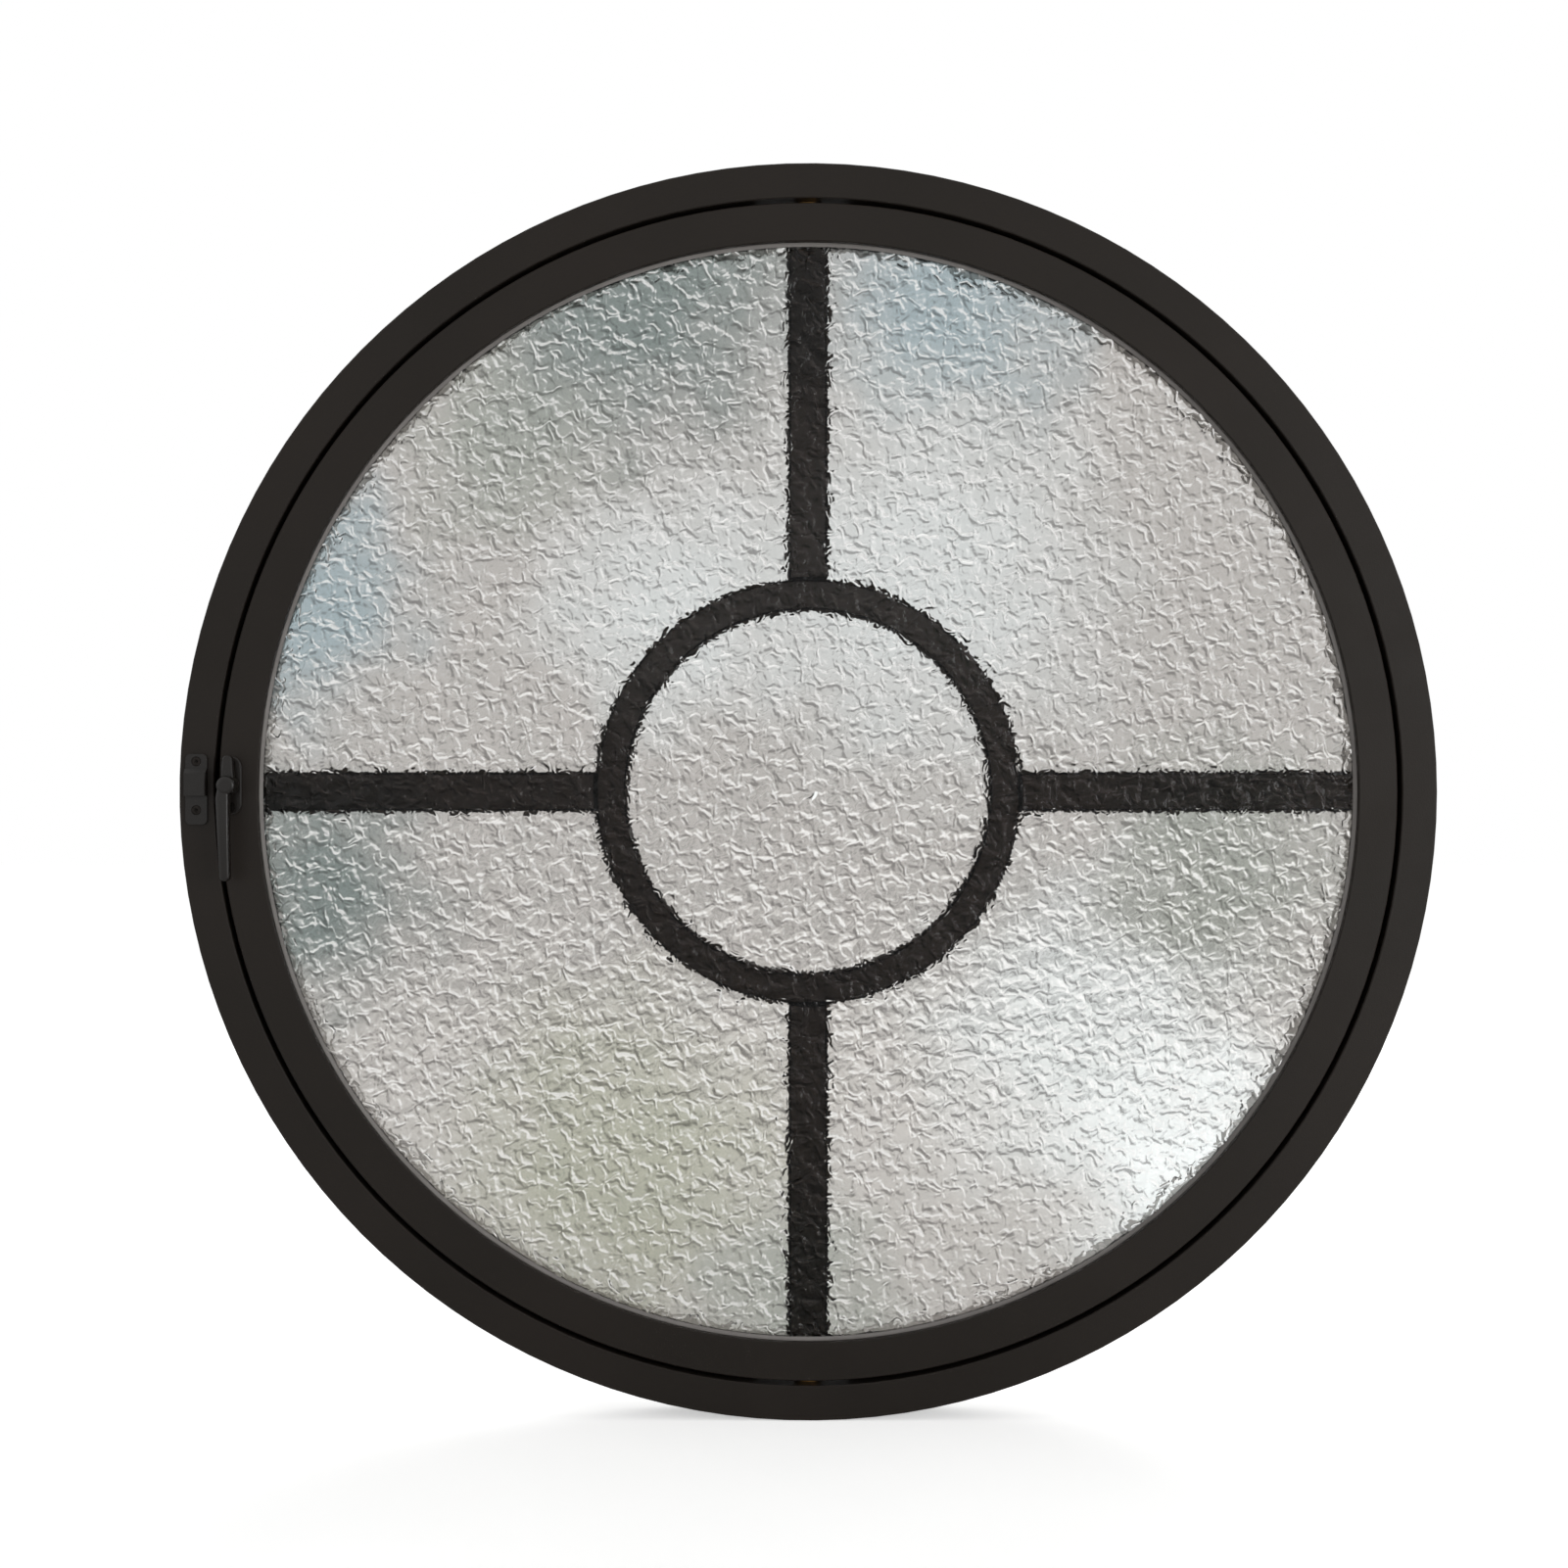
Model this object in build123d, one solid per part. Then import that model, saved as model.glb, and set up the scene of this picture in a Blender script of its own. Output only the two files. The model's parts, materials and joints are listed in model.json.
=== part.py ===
from build123d import *
import math
import os

# Round pivot window, frame included.
# Millimetres, +Z up. The origin is the centre of the window on its pivot line.
# The room side faces -Y, the outside faces +Y, and the sash turns about Z.

# Frame and sash rings, both bent from hollow aluminium sections
OUTER_D = 1000.0         # outside diameter of the fixed frame
FRAME_FACE = 27.5        # frame ring, seen face on
RING_DEPTH = 50.0        # frame and sash, room side to outside
RUN_GAP = 4.0            # open gap between frame and sash
SASH_TUBE = 18.5         # hollow part of the sash section
LEG_REACH = 12.0         # glazing leg, from the hollow part to the daylight edge
LEG_DEPTH = 6.0          # nose of the glazing leg
WALL = 2.2               # wall of both sections
EDGE = 0.8               # broken outer edges of both sections

# Sealed glass unit
PANE = 5.0               # thickness of one pane
CAVITY = 14.0            # space between the panes
PANE_CLEAR = 4.0         # from the rim of the panes to the sash
GASKET_LIP = 3.0         # gasket between metal and glass
SPACER_FACE = 6.0        # spacer between the panes, seen face on
SEAL_FACE = 4.5          # sealant outside the spacer

# Glazing bead, hollow and bevelled, screwed in from the outside
BEAD_WALL = 1.8
BEAD_NOSE = 3.0          # upright edge beside the glass
BEAD_TOP = 4.0           # flat edge beside the sash
BEAD_SCREWS = 6
BEAD_SCREW_START = 15.0  # degrees from the top to the first screw

# Decorative grille inside the cavity
HUB_RING_OUT = 170.0     # outside radius of the middle ring
HUB_RING_FACE = 24.5     # middle ring, seen face on
BAR_FACE = 31.0          # straight bar, seen face on
BAR_DEPTH = 10.0         # ring and bars, front to back
BAR_WALL = 1.0
BAR_EDGE = 1.5           # rounding of the bars' long edges
KEY_FACE = 20.0          # key that joins a bar to the ring
KEY_IN_RING = 5.0
KEY_IN_BAR = 16.0
CLIP_PLUG = 15.0         # plug of the end clip, inside the bar
CLIP_PIN_D = 3.0
CLIP_PIN = 4.0           # pin of the end clip, inside the spacer
SLIP = 0.1               # all-round clearance of pushed-in plugs and scribed ends

# Setting blocks under the glass
BLOCK_SPAN = 9.0         # degrees of rim that one block covers
BLOCK_AT = 30.0          # degrees from the bottom to each block

# Pivots at the top and the bottom
PIN_D = 12.0
PIN_RUN = 0.05           # radial running clearance of pin in bush
PIN_HEAD_D = 18.0
PIN_HEAD = 4.0
PIN_END = 3.0            # from the end of the pin to the inner wall of the sash
BUSH_WALL = 3.0
FLANGE_D = 24.0
FLANGE = 2.0
THRUST_D = 22.0
THRUST_PLAY = 0.1        # between the thrust washer and the flange
SPOT = 0.6               # depth of the flat seats milled into the rings
SPOT_CLEAR = 1.0         # their extra diameter
BLOCK_LENGTH = 70.0
BLOCK_FIT = 0.3          # pivot block in its hollow section
BLOCK_SCREW_AT = 24.0    # from the pivot line to each screw

# Weather bars on the outside, one half on the sash and one half on the frame
BAR_THICK = 6.0          # whole thickness of a bar
BAR_LAND = 13.5          # width screwed flat to its carrier
BAR_OVERLAP = 7.5        # cover over the other ring
BAR_REBATE = 3.0         # step under the overlap, which holds the seal
SEAL_WIDTH = 4.5
SEAL_TOUCH = 0.3         # seal to the face that it closes on
SASH_BAR_END = 40.0      # from the pivot line to the end of the sash's bar
FRAME_BAR_END = 32.0     # from the pivot line to the end of the frame's bar
BAR_SCREWS = 5

# Keeper on the frame, room side
KEEPER_IN = 4.9          # from the inner edge of the frame to the keeper
KEEPER_FACE = 17.2
KEEPER_TOP = 30.0
KEEPER_BOTTOM = -26.0
KEEPER_PLATE = 2.0
KEEPER_ROUND = 4.0
WEDGE_TOP = 18.3
WEDGE_BOTTOM = -3.1
WEDGE_HEIGHT = 7.2       # above the face of the frame
WEDGE_RAMP = 3.5

# Handle on the sash, room side
TURN_IN = 10.0           # from the outer edge of the sash to the handle's axis
TURN_Z = 5.0
PLATE_FACE = 17.0
PLATE_LENGTH = 46.0
PLATE = 3.0
PLATE_EDGE = 0.8
BOSS_D = 14.0
BOSS = 4.0
SPINDLE_D = 6.0
SPINDLE_RUN = 0.05
SPINDLE_TAIL = 3.5       # behind the base plate
TAIL_HOLE_D = 12.0       # hole in the sash for the tail of the spindle
CLIP_D = 11.0
CLIP = 1.2
WASHER_D = 13.0
WASHER = 0.6
WASHER_PLAY = 0.1
HUB_D = 15.0
HUB = 10.5
HUB_DOME = 3.0
NOSE = 23.5              # from the handle's axis to the end of the nose
NOSE_ROOT = 10.0
NOSE_TIP = 7.0
NOSE_THICK = 7.0
ARM_DROP = 75.5          # from the handle's axis to the end of the arm
ARM_TOP = (-8.0, 2.5)    # left and right edge at the hub, from the axis
ARM_END = (-4.6, 3.2)    # left and right edge near the end, from the axis
ARM_THICK = 7.5
ARM_LIFT = 1.6           # bow of the arm towards the room
ARM_ROUND = 2.4
PLATE_SCREW_AT = 17.0    # from the axis to each screw

# Countersunk screws: thread, head diameter, head height
SCREW_SMALL = (4.0, 7.6, 2.2)
SCREW_LARGE = (5.0, 9.4, 2.6)
SCREW_LENGTH = 14.0
SCREW_CLEAR = 0.1        # all round a screw in its hole
HEAD_SINK = 0.1          # head below the surface around it

# Radii and depths that follow from the sizes above
R_FRAME = OUTER_D / 2
R_FRAME_IN = R_FRAME - FRAME_FACE
R_SASH = R_FRAME_IN - RUN_GAP
R_TUBE_IN = R_SASH - SASH_TUBE
R_LIGHT = R_TUBE_IN - LEG_REACH
R_GLASS = R_TUBE_IN - PANE_CLEAR
R_SEAL_IN = R_GLASS - SEAL_FACE
R_SPACER_IN = R_SEAL_IN - SPACER_FACE
FRONT = -RING_DEPTH / 2
BACK = RING_DEPTH / 2
GLASS_FRONT = FRONT + LEG_DEPTH + GASKET_LIP
CAVITY_FRONT = GLASS_FRONT + PANE
CAVITY_BACK = CAVITY_FRONT + CAVITY
GLASS_BACK = CAVITY_BACK + PANE
BEAD_FRONT = GLASS_BACK + GASKET_LIP
GRILLE_Y = (CAVITY_FRONT + CAVITY_BACK) / 2
PLATE_FRONT = FRONT - PLATE
BOSS_FRONT = PLATE_FRONT - BOSS
HUB_BACK = BOSS_FRONT - WASHER - WASHER_PLAY
HUB_FRONT = HUB_BACK - HUB - HUB_DOME
KEEPER_X = -(R_FRAME_IN + KEEPER_IN + KEEPER_FACE / 2)
TURN_X = -(R_SASH - TURN_IN)


def rectangle(r_in, r_out, y_front, y_back):
    """Rectangle in the plane of radius and depth."""
    middle = Pos((r_in + r_out) / 2, (y_front + y_back) / 2)
    return middle * Rectangle(r_out - r_in, y_back - y_front)


def break_corners(face, corners, size):
    """Chamfer the corners of a profile that lie at the given points."""
    chosen = [v for v in face.vertices() for c in corners if math.dist((v.X, v.Y), c) < 0.01]
    return chamfer(chosen, size)


def ring(profile):
    """Turn a profile of radius and depth about the Y axis."""
    return revolve(profile, Axis.Y, 360)


def block(x_span, y_span, z_span):
    """Box from the lowest and highest value along each axis."""
    lows = [min(span) for span in (x_span, y_span, z_span)]
    sizes = [max(span) - min(span) for span in (x_span, y_span, z_span)]
    return Pos(*lows) * Box(*sizes, align=(Align.MIN, Align.MIN, Align.MIN))


def rod(radius, z_low, z_high):
    """Round bar along Z on the pivot line."""
    height = z_high - z_low
    return Pos(0, 0, z_low) * Cylinder(radius, height, align=(Align.CENTER, Align.CENTER, Align.MIN))


def rod_y(radius, y_low, y_high):
    """Round bar along Y through the origin."""
    return Rot(-90, 0, 0) * rod(radius, y_low, y_high)


def screw(size, length):
    """Countersunk screw: the face of its head at the origin, its thread along -Z."""
    thread, head, height = size
    profile = Polyline(
        (0, 0), (head / 2, 0), (thread / 2, -height), (thread / 2, -length), (0, -length), close=True
    )
    return revolve(Plane.XZ * make_face(profile), Axis.Z, 360)


def screw_hole(size, length):
    """Room that such a screw takes, with a close all-round clearance."""
    thread, head, height = size
    wide = head / 2 + SCREW_CLEAR
    narrow = thread / 2 + SCREW_CLEAR
    end = -length - SCREW_CLEAR
    profile = Polyline(
        (0, height), (wide, height), (wide, 0), (narrow, -height), (narrow, end), (0, end), close=True
    )
    return revolve(Plane.XZ * make_face(profile), Axis.Z, 360)


def at_places(places, thing):
    """Copies of one solid at several places."""
    return [place * thing for place in places]


def cut_all(solid, tools):
    """Take several tools away from one solid."""
    for tool in tools:
        solid = solid - tool
    return solid


def rim_height(radius, x):
    """Height of a round surface of the window at a distance from the pivot line."""
    return math.sqrt(radius**2 - x**2)


def turned(angle):
    """Turn about Y: 0 is the top, 90 the right-hand side."""
    return Rot(0, angle, 0)


def slanted_screws(angles, radius, depth, slant):
    """Places for screws that point outwards and, by a slant, towards the room."""
    return [turned(a) * Pos(0, depth, radius) * Rot(180 + slant, 0, 0) for a in angles]


def face_screws(angles, radius, depth):
    """Places for screws that point to the room, their heads on the outside."""
    return [turned(a) * Pos(0, depth, radius) * Rot(-90, 0, 0) for a in angles]


# Bead screws stand clear of the pivots and the setting blocks
BEAD_ANGLES = [BEAD_SCREW_START + n * 360 / BEAD_SCREWS for n in range(BEAD_SCREWS)]
BEVEL_RUN = R_TUBE_IN - SLIP - BEAD_TOP - R_LIGHT
BEVEL_RISE = BACK - BEAD_FRONT - BEAD_NOSE
BEVEL_SLANT = math.degrees(math.atan2(BEVEL_RUN, BEVEL_RISE))
SINK_R = HEAD_SINK * math.cos(math.radians(BEVEL_SLANT))
SINK_Y = HEAD_SINK * math.sin(math.radians(BEVEL_SLANT))
BEAD_PLACES = slanted_screws(
    BEAD_ANGLES, R_LIGHT + BEVEL_RUN / 2 + SINK_R, BACK - BEVEL_RISE / 2 - SINK_Y, BEVEL_SLANT
)
BEAD_SCREW_LENGTH = (R_TUBE_IN + 2 * WALL - R_LIGHT - BEVEL_RUN / 2) / math.cos(math.radians(BEVEL_SLANT))

# Screws through the weather bars: left half on the sash, right half on the frame
BAR_STEP = 180 / BAR_SCREWS
BAR_OFFSETS = [(n + 0.5) * BAR_STEP for n in range(BAR_SCREWS)]
R_SASH_LAND = R_SASH - BAR_LAND / 2
R_FRAME_LAND = R_FRAME_IN + BAR_LAND / 2
BAR_SCREW_LENGTH = BAR_THICK + WALL + 4.0
SASH_BAR_PLACES = face_screws([-a for a in BAR_OFFSETS], R_SASH_LAND, BACK + BAR_THICK - HEAD_SINK)
FRAME_BAR_PLACES = face_screws(BAR_OFFSETS, R_FRAME_LAND, BACK + BAR_THICK - HEAD_SINK)

# Seats of the pivots along Z, written for the top; the bottom is turned over
FRAME_SEAT = R_FRAME_IN + SPOT
SASH_SEAT = R_SASH - SPOT
FLANGE_TOP = SASH_SEAT + FLANGE
THRUST_LOW = FLANGE_TOP + THRUST_PLAY
PIN_LOW = R_TUBE_IN + WALL + PIN_END
BLOCK_TOP = R_FRAME - WALL - PIN_HEAD - 2 * BLOCK_FIT
BUSH_R = PIN_D / 2 + PIN_RUN + BUSH_WALL
LARGE_HEAD_R = SCREW_LARGE[1] / 2
FRAME_HEAD_Z = rim_height(R_FRAME_IN, BLOCK_SCREW_AT - LARGE_HEAD_R) + HEAD_SINK
SASH_HEAD_Z = rim_height(R_SASH, BLOCK_SCREW_AT + LARGE_HEAD_R) - HEAD_SINK
FRAME_BLOCK_PLACES = [Pos(side * BLOCK_SCREW_AT, 0, FRAME_HEAD_Z) * Rot(180, 0, 0) for side in (-1, 1)]
SASH_BLOCK_PLACES = [Pos(side * BLOCK_SCREW_AT, 0, SASH_HEAD_Z) for side in (-1, 1)]

# Screws of the keeper and of the handle's base plate, their heads to the room
KEEPER_SCREW_Z = ((KEEPER_TOP + WEDGE_TOP) / 2, (KEEPER_BOTTOM + WEDGE_BOTTOM) / 2)
KEEPER_PLACES = [
    Pos(KEEPER_X, FRONT - KEEPER_PLATE + HEAD_SINK, z) * Rot(90, 0, 0) for z in KEEPER_SCREW_Z
]
PLATE_PLACES = [
    Pos(TURN_X, PLATE_FRONT + HEAD_SINK, TURN_Z + side * PLATE_SCREW_AT) * Rot(90, 0, 0)
    for side in (-1, 1)
]
HANDLE_AXIS = Pos(TURN_X, 0, TURN_Z)


def mirrored_ends(tools):
    """The same tools at the top and, turned over about X, at the bottom."""
    return tools + [Rot(180, 0, 0) * tool for tool in tools]


def frame_ring():
    """Fixed outer ring, with the seats and holes of the pivots and screws."""
    outer = rectangle(R_FRAME_IN, R_FRAME, FRONT, BACK)
    corners = [(r, y) for r in (R_FRAME_IN, R_FRAME) for y in (FRONT, BACK)]
    outer = break_corners(outer, corners, EDGE)
    hollow = rectangle(R_FRAME_IN + WALL, R_FRAME - WALL, FRONT + WALL, BACK - WALL)
    body = ring(outer - hollow)
    seat = rod((THRUST_D + SPOT_CLEAR) / 2, R_SASH, FRAME_SEAT)
    hole = rod(PIN_D / 2 + SLIP, R_SASH, R_FRAME_IN + WALL + 1)
    screws = at_places(FRAME_BLOCK_PLACES, screw_hole(SCREW_LARGE, SCREW_LENGTH))
    body = cut_all(body, mirrored_ends([seat, hole] + screws))
    body = cut_all(body, at_places(FRAME_BAR_PLACES, screw_hole(SCREW_SMALL, BAR_SCREW_LENGTH)))
    return cut_all(body, at_places(KEEPER_PLACES, screw_hole(SCREW_SMALL, SCREW_LENGTH)))


def sash_ring():
    """Turning ring: a hollow section with a glazing leg on the room side."""
    outline = Polyline(
        (R_LIGHT, FRONT), (R_SASH, FRONT), (R_SASH, BACK), (R_TUBE_IN, BACK),
        (R_TUBE_IN, FRONT + WALL), (R_LIGHT + WALL, FRONT + WALL), (R_LIGHT + WALL, FRONT + LEG_DEPTH),
        (R_LIGHT, FRONT + LEG_DEPTH), close=True,
    )
    corners = [(R_LIGHT, FRONT), (R_SASH, FRONT), (R_SASH, BACK)]
    outer = break_corners(make_face(outline), corners, EDGE)
    hollow = rectangle(R_TUBE_IN + WALL, R_SASH - WALL, FRONT + WALL, BACK - WALL)
    body = ring(outer - hollow)
    seat = rod((FLANGE_D + SPOT_CLEAR) / 2, SASH_SEAT, R_SASH + 1)
    hole = rod(BUSH_R + SLIP, R_SASH - WALL - 1, R_SASH + 1)
    screws = at_places(SASH_BLOCK_PLACES, screw_hole(SCREW_LARGE, SCREW_LENGTH - 2))
    body = cut_all(body, mirrored_ends([seat, hole] + screws))
    body = cut_all(body, at_places(SASH_BAR_PLACES, screw_hole(SCREW_SMALL, BAR_SCREW_LENGTH)))
    body = cut_all(body, at_places(BEAD_PLACES, screw_hole(SCREW_SMALL, BEAD_SCREW_LENGTH)))
    body = cut_all(body, at_places(PLATE_PLACES, screw_hole(SCREW_SMALL, SCREW_LENGTH)))
    return body - HANDLE_AXIS * rod_y(TAIL_HOLE_D / 2, FRONT - 1, FRONT + WALL + 1)


def glazing_bead():
    """Hollow bevelled bead that holds the glass from the outside."""
    outline = make_face(Polyline(
        (R_LIGHT, BEAD_FRONT), (R_TUBE_IN - SLIP, BEAD_FRONT), (R_TUBE_IN - SLIP, BACK),
        (R_TUBE_IN - SLIP - BEAD_TOP, BACK), (R_LIGHT, BEAD_FRONT + BEAD_NOSE), close=True,
    ))
    body = ring(outline - offset(outline, -BEAD_WALL))
    return cut_all(body, at_places(BEAD_PLACES, screw_hole(SCREW_SMALL, BEAD_SCREW_LENGTH)))


def gasket_inside():
    """Gasket in the pocket of the glazing leg, on the room side of the glass."""
    return ring(rectangle(R_LIGHT + WALL + SLIP, R_GLASS, FRONT + WALL, GLASS_FRONT))


def gasket_outside():
    """Gasket between the glass and the bead."""
    return ring(rectangle(R_LIGHT + SLIP, R_GLASS, GLASS_BACK, BEAD_FRONT))


def pane(y_front):
    """One round pane of glass."""
    return rod_y(R_GLASS, y_front, y_front + PANE)


def setting_blocks():
    """Two plastic blocks that carry the weight of the glass."""
    band = ring(rectangle(R_GLASS + SLIP, R_TUBE_IN - SLIP, GLASS_FRONT, GLASS_BACK))
    half = R_GLASS * math.tan(math.radians(BLOCK_SPAN / 2))
    keep = block((-half, half), (GLASS_FRONT, GLASS_BACK), (R_GLASS / 2, R_FRAME))
    return [band & turned(180 + side * BLOCK_AT) * keep for side in (-1, 1)]


def clip_pin(clearance):
    """Pin of an end clip, or the hole that it fits, at the top of the window."""
    return Pos(0, GRILLE_Y, 0) * rod(
        CLIP_PIN_D / 2 + clearance, R_SPACER_IN - 1, R_SPACER_IN + CLIP_PIN + clearance
    )


def spacer():
    """Bar bent to a ring that keeps the panes apart, drilled for the end clips."""
    body = ring(rectangle(R_SPACER_IN, R_SEAL_IN, CAVITY_FRONT, CAVITY_BACK))
    return cut_all(body, [turned(a) * clip_pin(SLIP) for a in range(0, 360, 90)])


def edge_sealant():
    """Sealant round the rim of the unit."""
    return ring(rectangle(R_SEAL_IN, R_GLASS, CAVITY_FRONT, CAVITY_BACK))


def grille_key(clearance):
    """Key that joins the top bar to the ring, or the slot that it fits."""
    half_face = KEY_FACE / 2 + clearance
    half_depth = BAR_DEPTH / 2 - BAR_WALL - SLIP + clearance
    return block(
        (-half_face, half_face), (GRILLE_Y - half_depth, GRILLE_Y + half_depth),
        (HUB_RING_OUT - KEY_IN_RING, HUB_RING_OUT + KEY_IN_BAR),
    )


def grille_ring():
    """Hollow ring in the middle of the grille, slotted for the four keys."""
    half = BAR_DEPTH / 2
    inner = HUB_RING_OUT - HUB_RING_FACE
    outer = rectangle(inner, HUB_RING_OUT, GRILLE_Y - half, GRILLE_Y + half)
    outer = chamfer(outer.vertices(), BAR_EDGE)
    hollow = rectangle(
        inner + BAR_WALL, HUB_RING_OUT - BAR_WALL,
        GRILLE_Y - half + BAR_WALL, GRILLE_Y + half - BAR_WALL,
    )
    hollow = chamfer(hollow.vertices(), BAR_EDGE)
    body = ring(outer - hollow)
    return cut_all(body, [turned(a) * grille_key(SLIP) for a in range(0, 360, 90)])


def grille_bar():
    """Hollow bar at the top, scribed to the ring and to the spacer."""
    outer = chamfer(Rectangle(BAR_FACE, BAR_DEPTH).vertices(), BAR_EDGE)
    hollow = Rectangle(BAR_FACE - 2 * BAR_WALL, BAR_DEPTH - 2 * BAR_WALL)
    hollow = chamfer(hollow.vertices(), BAR_EDGE)
    start = HUB_RING_OUT - BAR_FACE / 2
    tube = Pos(0, GRILLE_Y, start) * extrude(outer - hollow, R_SPACER_IN - start)
    tube = tube - rod_y(HUB_RING_OUT + SLIP, -RING_DEPTH, RING_DEPTH)
    return tube & rod_y(R_SPACER_IN - SLIP, -RING_DEPTH, RING_DEPTH)


def grille_clip():
    """End clip at the top: a plug in the bar and a pin in the spacer."""
    half_face = BAR_FACE / 2 - BAR_WALL - BAR_EDGE
    half_depth = BAR_DEPTH / 2 - BAR_WALL - SLIP
    top = rim_height(R_SPACER_IN - SLIP, half_face)
    plug = block(
        (-half_face, half_face), (GRILLE_Y - half_depth, GRILLE_Y + half_depth),
        (top - CLIP_PLUG, top),
    )
    return plug + clip_pin(0)


def half_bar(r_land, r_step, r_cover, seal_face):
    """Profile of a weather bar: a land screwed to its ring, a rebated cover beyond."""
    top = BACK + BAR_THICK
    under = BACK + BAR_REBATE
    outline = Polyline(
        (r_land, BACK), (r_step, BACK), (r_step, under), (r_cover, under), (r_cover, top),
        (r_land, top), close=True,
    )
    return break_corners(make_face(outline), [(r_land, top), (r_cover, top)], seal_face)


def seal_profile(r_step, r_cover):
    """Profile of the seal in the rebate of a weather bar."""
    side = math.copysign(1, r_cover - r_step)
    near = r_cover - side * (SEAL_WIDTH + SEAL_TOUCH)
    far = r_cover - side * SEAL_TOUCH
    return rectangle(min(near, far), max(near, far), BACK + SEAL_TOUCH, BACK + BAR_REBATE)


def left_of(x_limit):
    """Everything on the left of an upright plane, around the weather bars."""
    return block((-R_FRAME - 10, x_limit), (BACK - 5, BACK + BAR_THICK + 5), (-R_FRAME - 10, R_FRAME + 10))


def right_of(x_limit):
    """Everything on the right of an upright plane, around the weather bars."""
    return Rot(0, 0, 180) * Pos(0, -2 * BACK - BAR_THICK, 0) * left_of(-x_limit)


R_SASH_COVER = R_FRAME_IN + BAR_OVERLAP
R_FRAME_COVER = R_SASH - BAR_OVERLAP


def sash_weather_bar():
    """Left half bar, carried by the sash and closing on the frame."""
    profile = half_bar(R_SASH - BAR_LAND, R_SASH, R_SASH_COVER, EDGE)
    body = ring(profile) & left_of(-SASH_BAR_END)
    return cut_all(body, at_places(SASH_BAR_PLACES, screw_hole(SCREW_SMALL, BAR_SCREW_LENGTH)))


def frame_weather_bar():
    """Right half bar, carried by the frame; the sash closes on it."""
    profile = half_bar(R_FRAME_IN + BAR_LAND, R_FRAME_IN, R_FRAME_COVER, EDGE)
    body = ring(profile) & right_of(FRAME_BAR_END)
    return cut_all(body, at_places(FRAME_BAR_PLACES, screw_hole(SCREW_SMALL, BAR_SCREW_LENGTH)))


def sash_weather_seal():
    """Rubber seal under the cover of the sash's bar."""
    return ring(seal_profile(R_SASH, R_SASH_COVER)) & left_of(-SASH_BAR_END)


def frame_weather_seal():
    """Rubber seal under the cover of the frame's bar."""
    return ring(seal_profile(R_FRAME_IN, R_FRAME_COVER)) & right_of(FRAME_BAR_END)


def frame_block():
    """Steel block in the hollow of the frame that holds the top pin."""
    band = ring(rectangle(
        R_FRAME_IN + WALL + BLOCK_FIT, BLOCK_TOP, FRONT + WALL + BLOCK_FIT, BACK - WALL - BLOCK_FIT
    ))
    half = BLOCK_LENGTH / 2
    body = band & block((-half, half), (FRONT, BACK), (R_FRAME_IN / 2, R_FRAME))
    body = body - rod(PIN_D / 2, R_TUBE_IN, R_FRAME)
    body = body - rod((PIN_HEAD_D + SPOT_CLEAR) / 2, BLOCK_TOP - SPOT, R_FRAME)
    return cut_all(body, at_places(FRAME_BLOCK_PLACES, screw_hole(SCREW_LARGE, SCREW_LENGTH)))


def pivot_pin():
    """Headed pin at the top, pressed into the frame's block."""
    low = BLOCK_TOP - SPOT
    shank = rod(PIN_D / 2, PIN_LOW, low)
    shank = chamfer(shank.edges().sort_by(Axis.Z)[0], 1.0)
    return shank + rod(PIN_HEAD_D / 2, low, low + PIN_HEAD)


def thrust_washer():
    """Bronze washer on the frame's seat, which takes the end load."""
    return rod(THRUST_D / 2, THRUST_LOW, FRAME_SEAT) - rod(PIN_D / 2 + SLIP, R_TUBE_IN, R_FRAME)


def sash_block():
    """Steel block in the hollow of the sash that carries the top bush."""
    band = ring(rectangle(
        R_TUBE_IN + WALL + BLOCK_FIT, R_SASH - WALL - BLOCK_FIT,
        FRONT + WALL + BLOCK_FIT, BACK - WALL - BLOCK_FIT,
    ))
    half = BLOCK_LENGTH / 2
    body = band & block((-half, half), (FRONT, BACK), (R_FRAME_IN / 2, R_FRAME))
    body = body - rod(BUSH_R, R_TUBE_IN, R_FRAME)
    return cut_all(body, at_places(SASH_BLOCK_PLACES, screw_hole(SCREW_LARGE, SCREW_LENGTH - 2)))


def pivot_bush():
    """Flanged bush at the top, in which the pin turns."""
    low = R_TUBE_IN + WALL + BLOCK_FIT
    body = rod(BUSH_R, low, SASH_SEAT) + rod(FLANGE_D / 2, SASH_SEAT, FLANGE_TOP)
    return body - rod(PIN_D / 2 + PIN_RUN, low - 1, FLANGE_TOP + 1)


def keeper():
    """Keeper plate on the frame, with a raised wedge that the nose rides onto."""
    height = KEEPER_TOP - KEEPER_BOTTOM
    outline = RectangleRounded(KEEPER_FACE, height, KEEPER_ROUND)
    middle = Plane.XZ * Pos(KEEPER_X, (KEEPER_TOP + KEEPER_BOTTOM) / 2) * outline
    plate = Pos(0, FRONT, 0) * extrude(middle, KEEPER_PLATE)
    half = KEEPER_FACE / 2
    wedge = block(
        (KEEPER_X - half, KEEPER_X + half), (FRONT - WEDGE_HEIGHT, FRONT), (WEDGE_BOTTOM, WEDGE_TOP)
    )
    room_edges = wedge.faces().sort_by(Axis.Y)[0].edges()
    wedge = chamfer(room_edges.sort_by(Axis.Z)[-1], WEDGE_RAMP)
    room_edges = wedge.faces().sort_by(Axis.Y)[0].edges()
    wedge = chamfer(room_edges.sort_by(Axis.X)[-1], EDGE)
    return cut_all(plate + wedge, at_places(KEEPER_PLACES, screw_hole(SCREW_SMALL, SCREW_LENGTH)))


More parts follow.
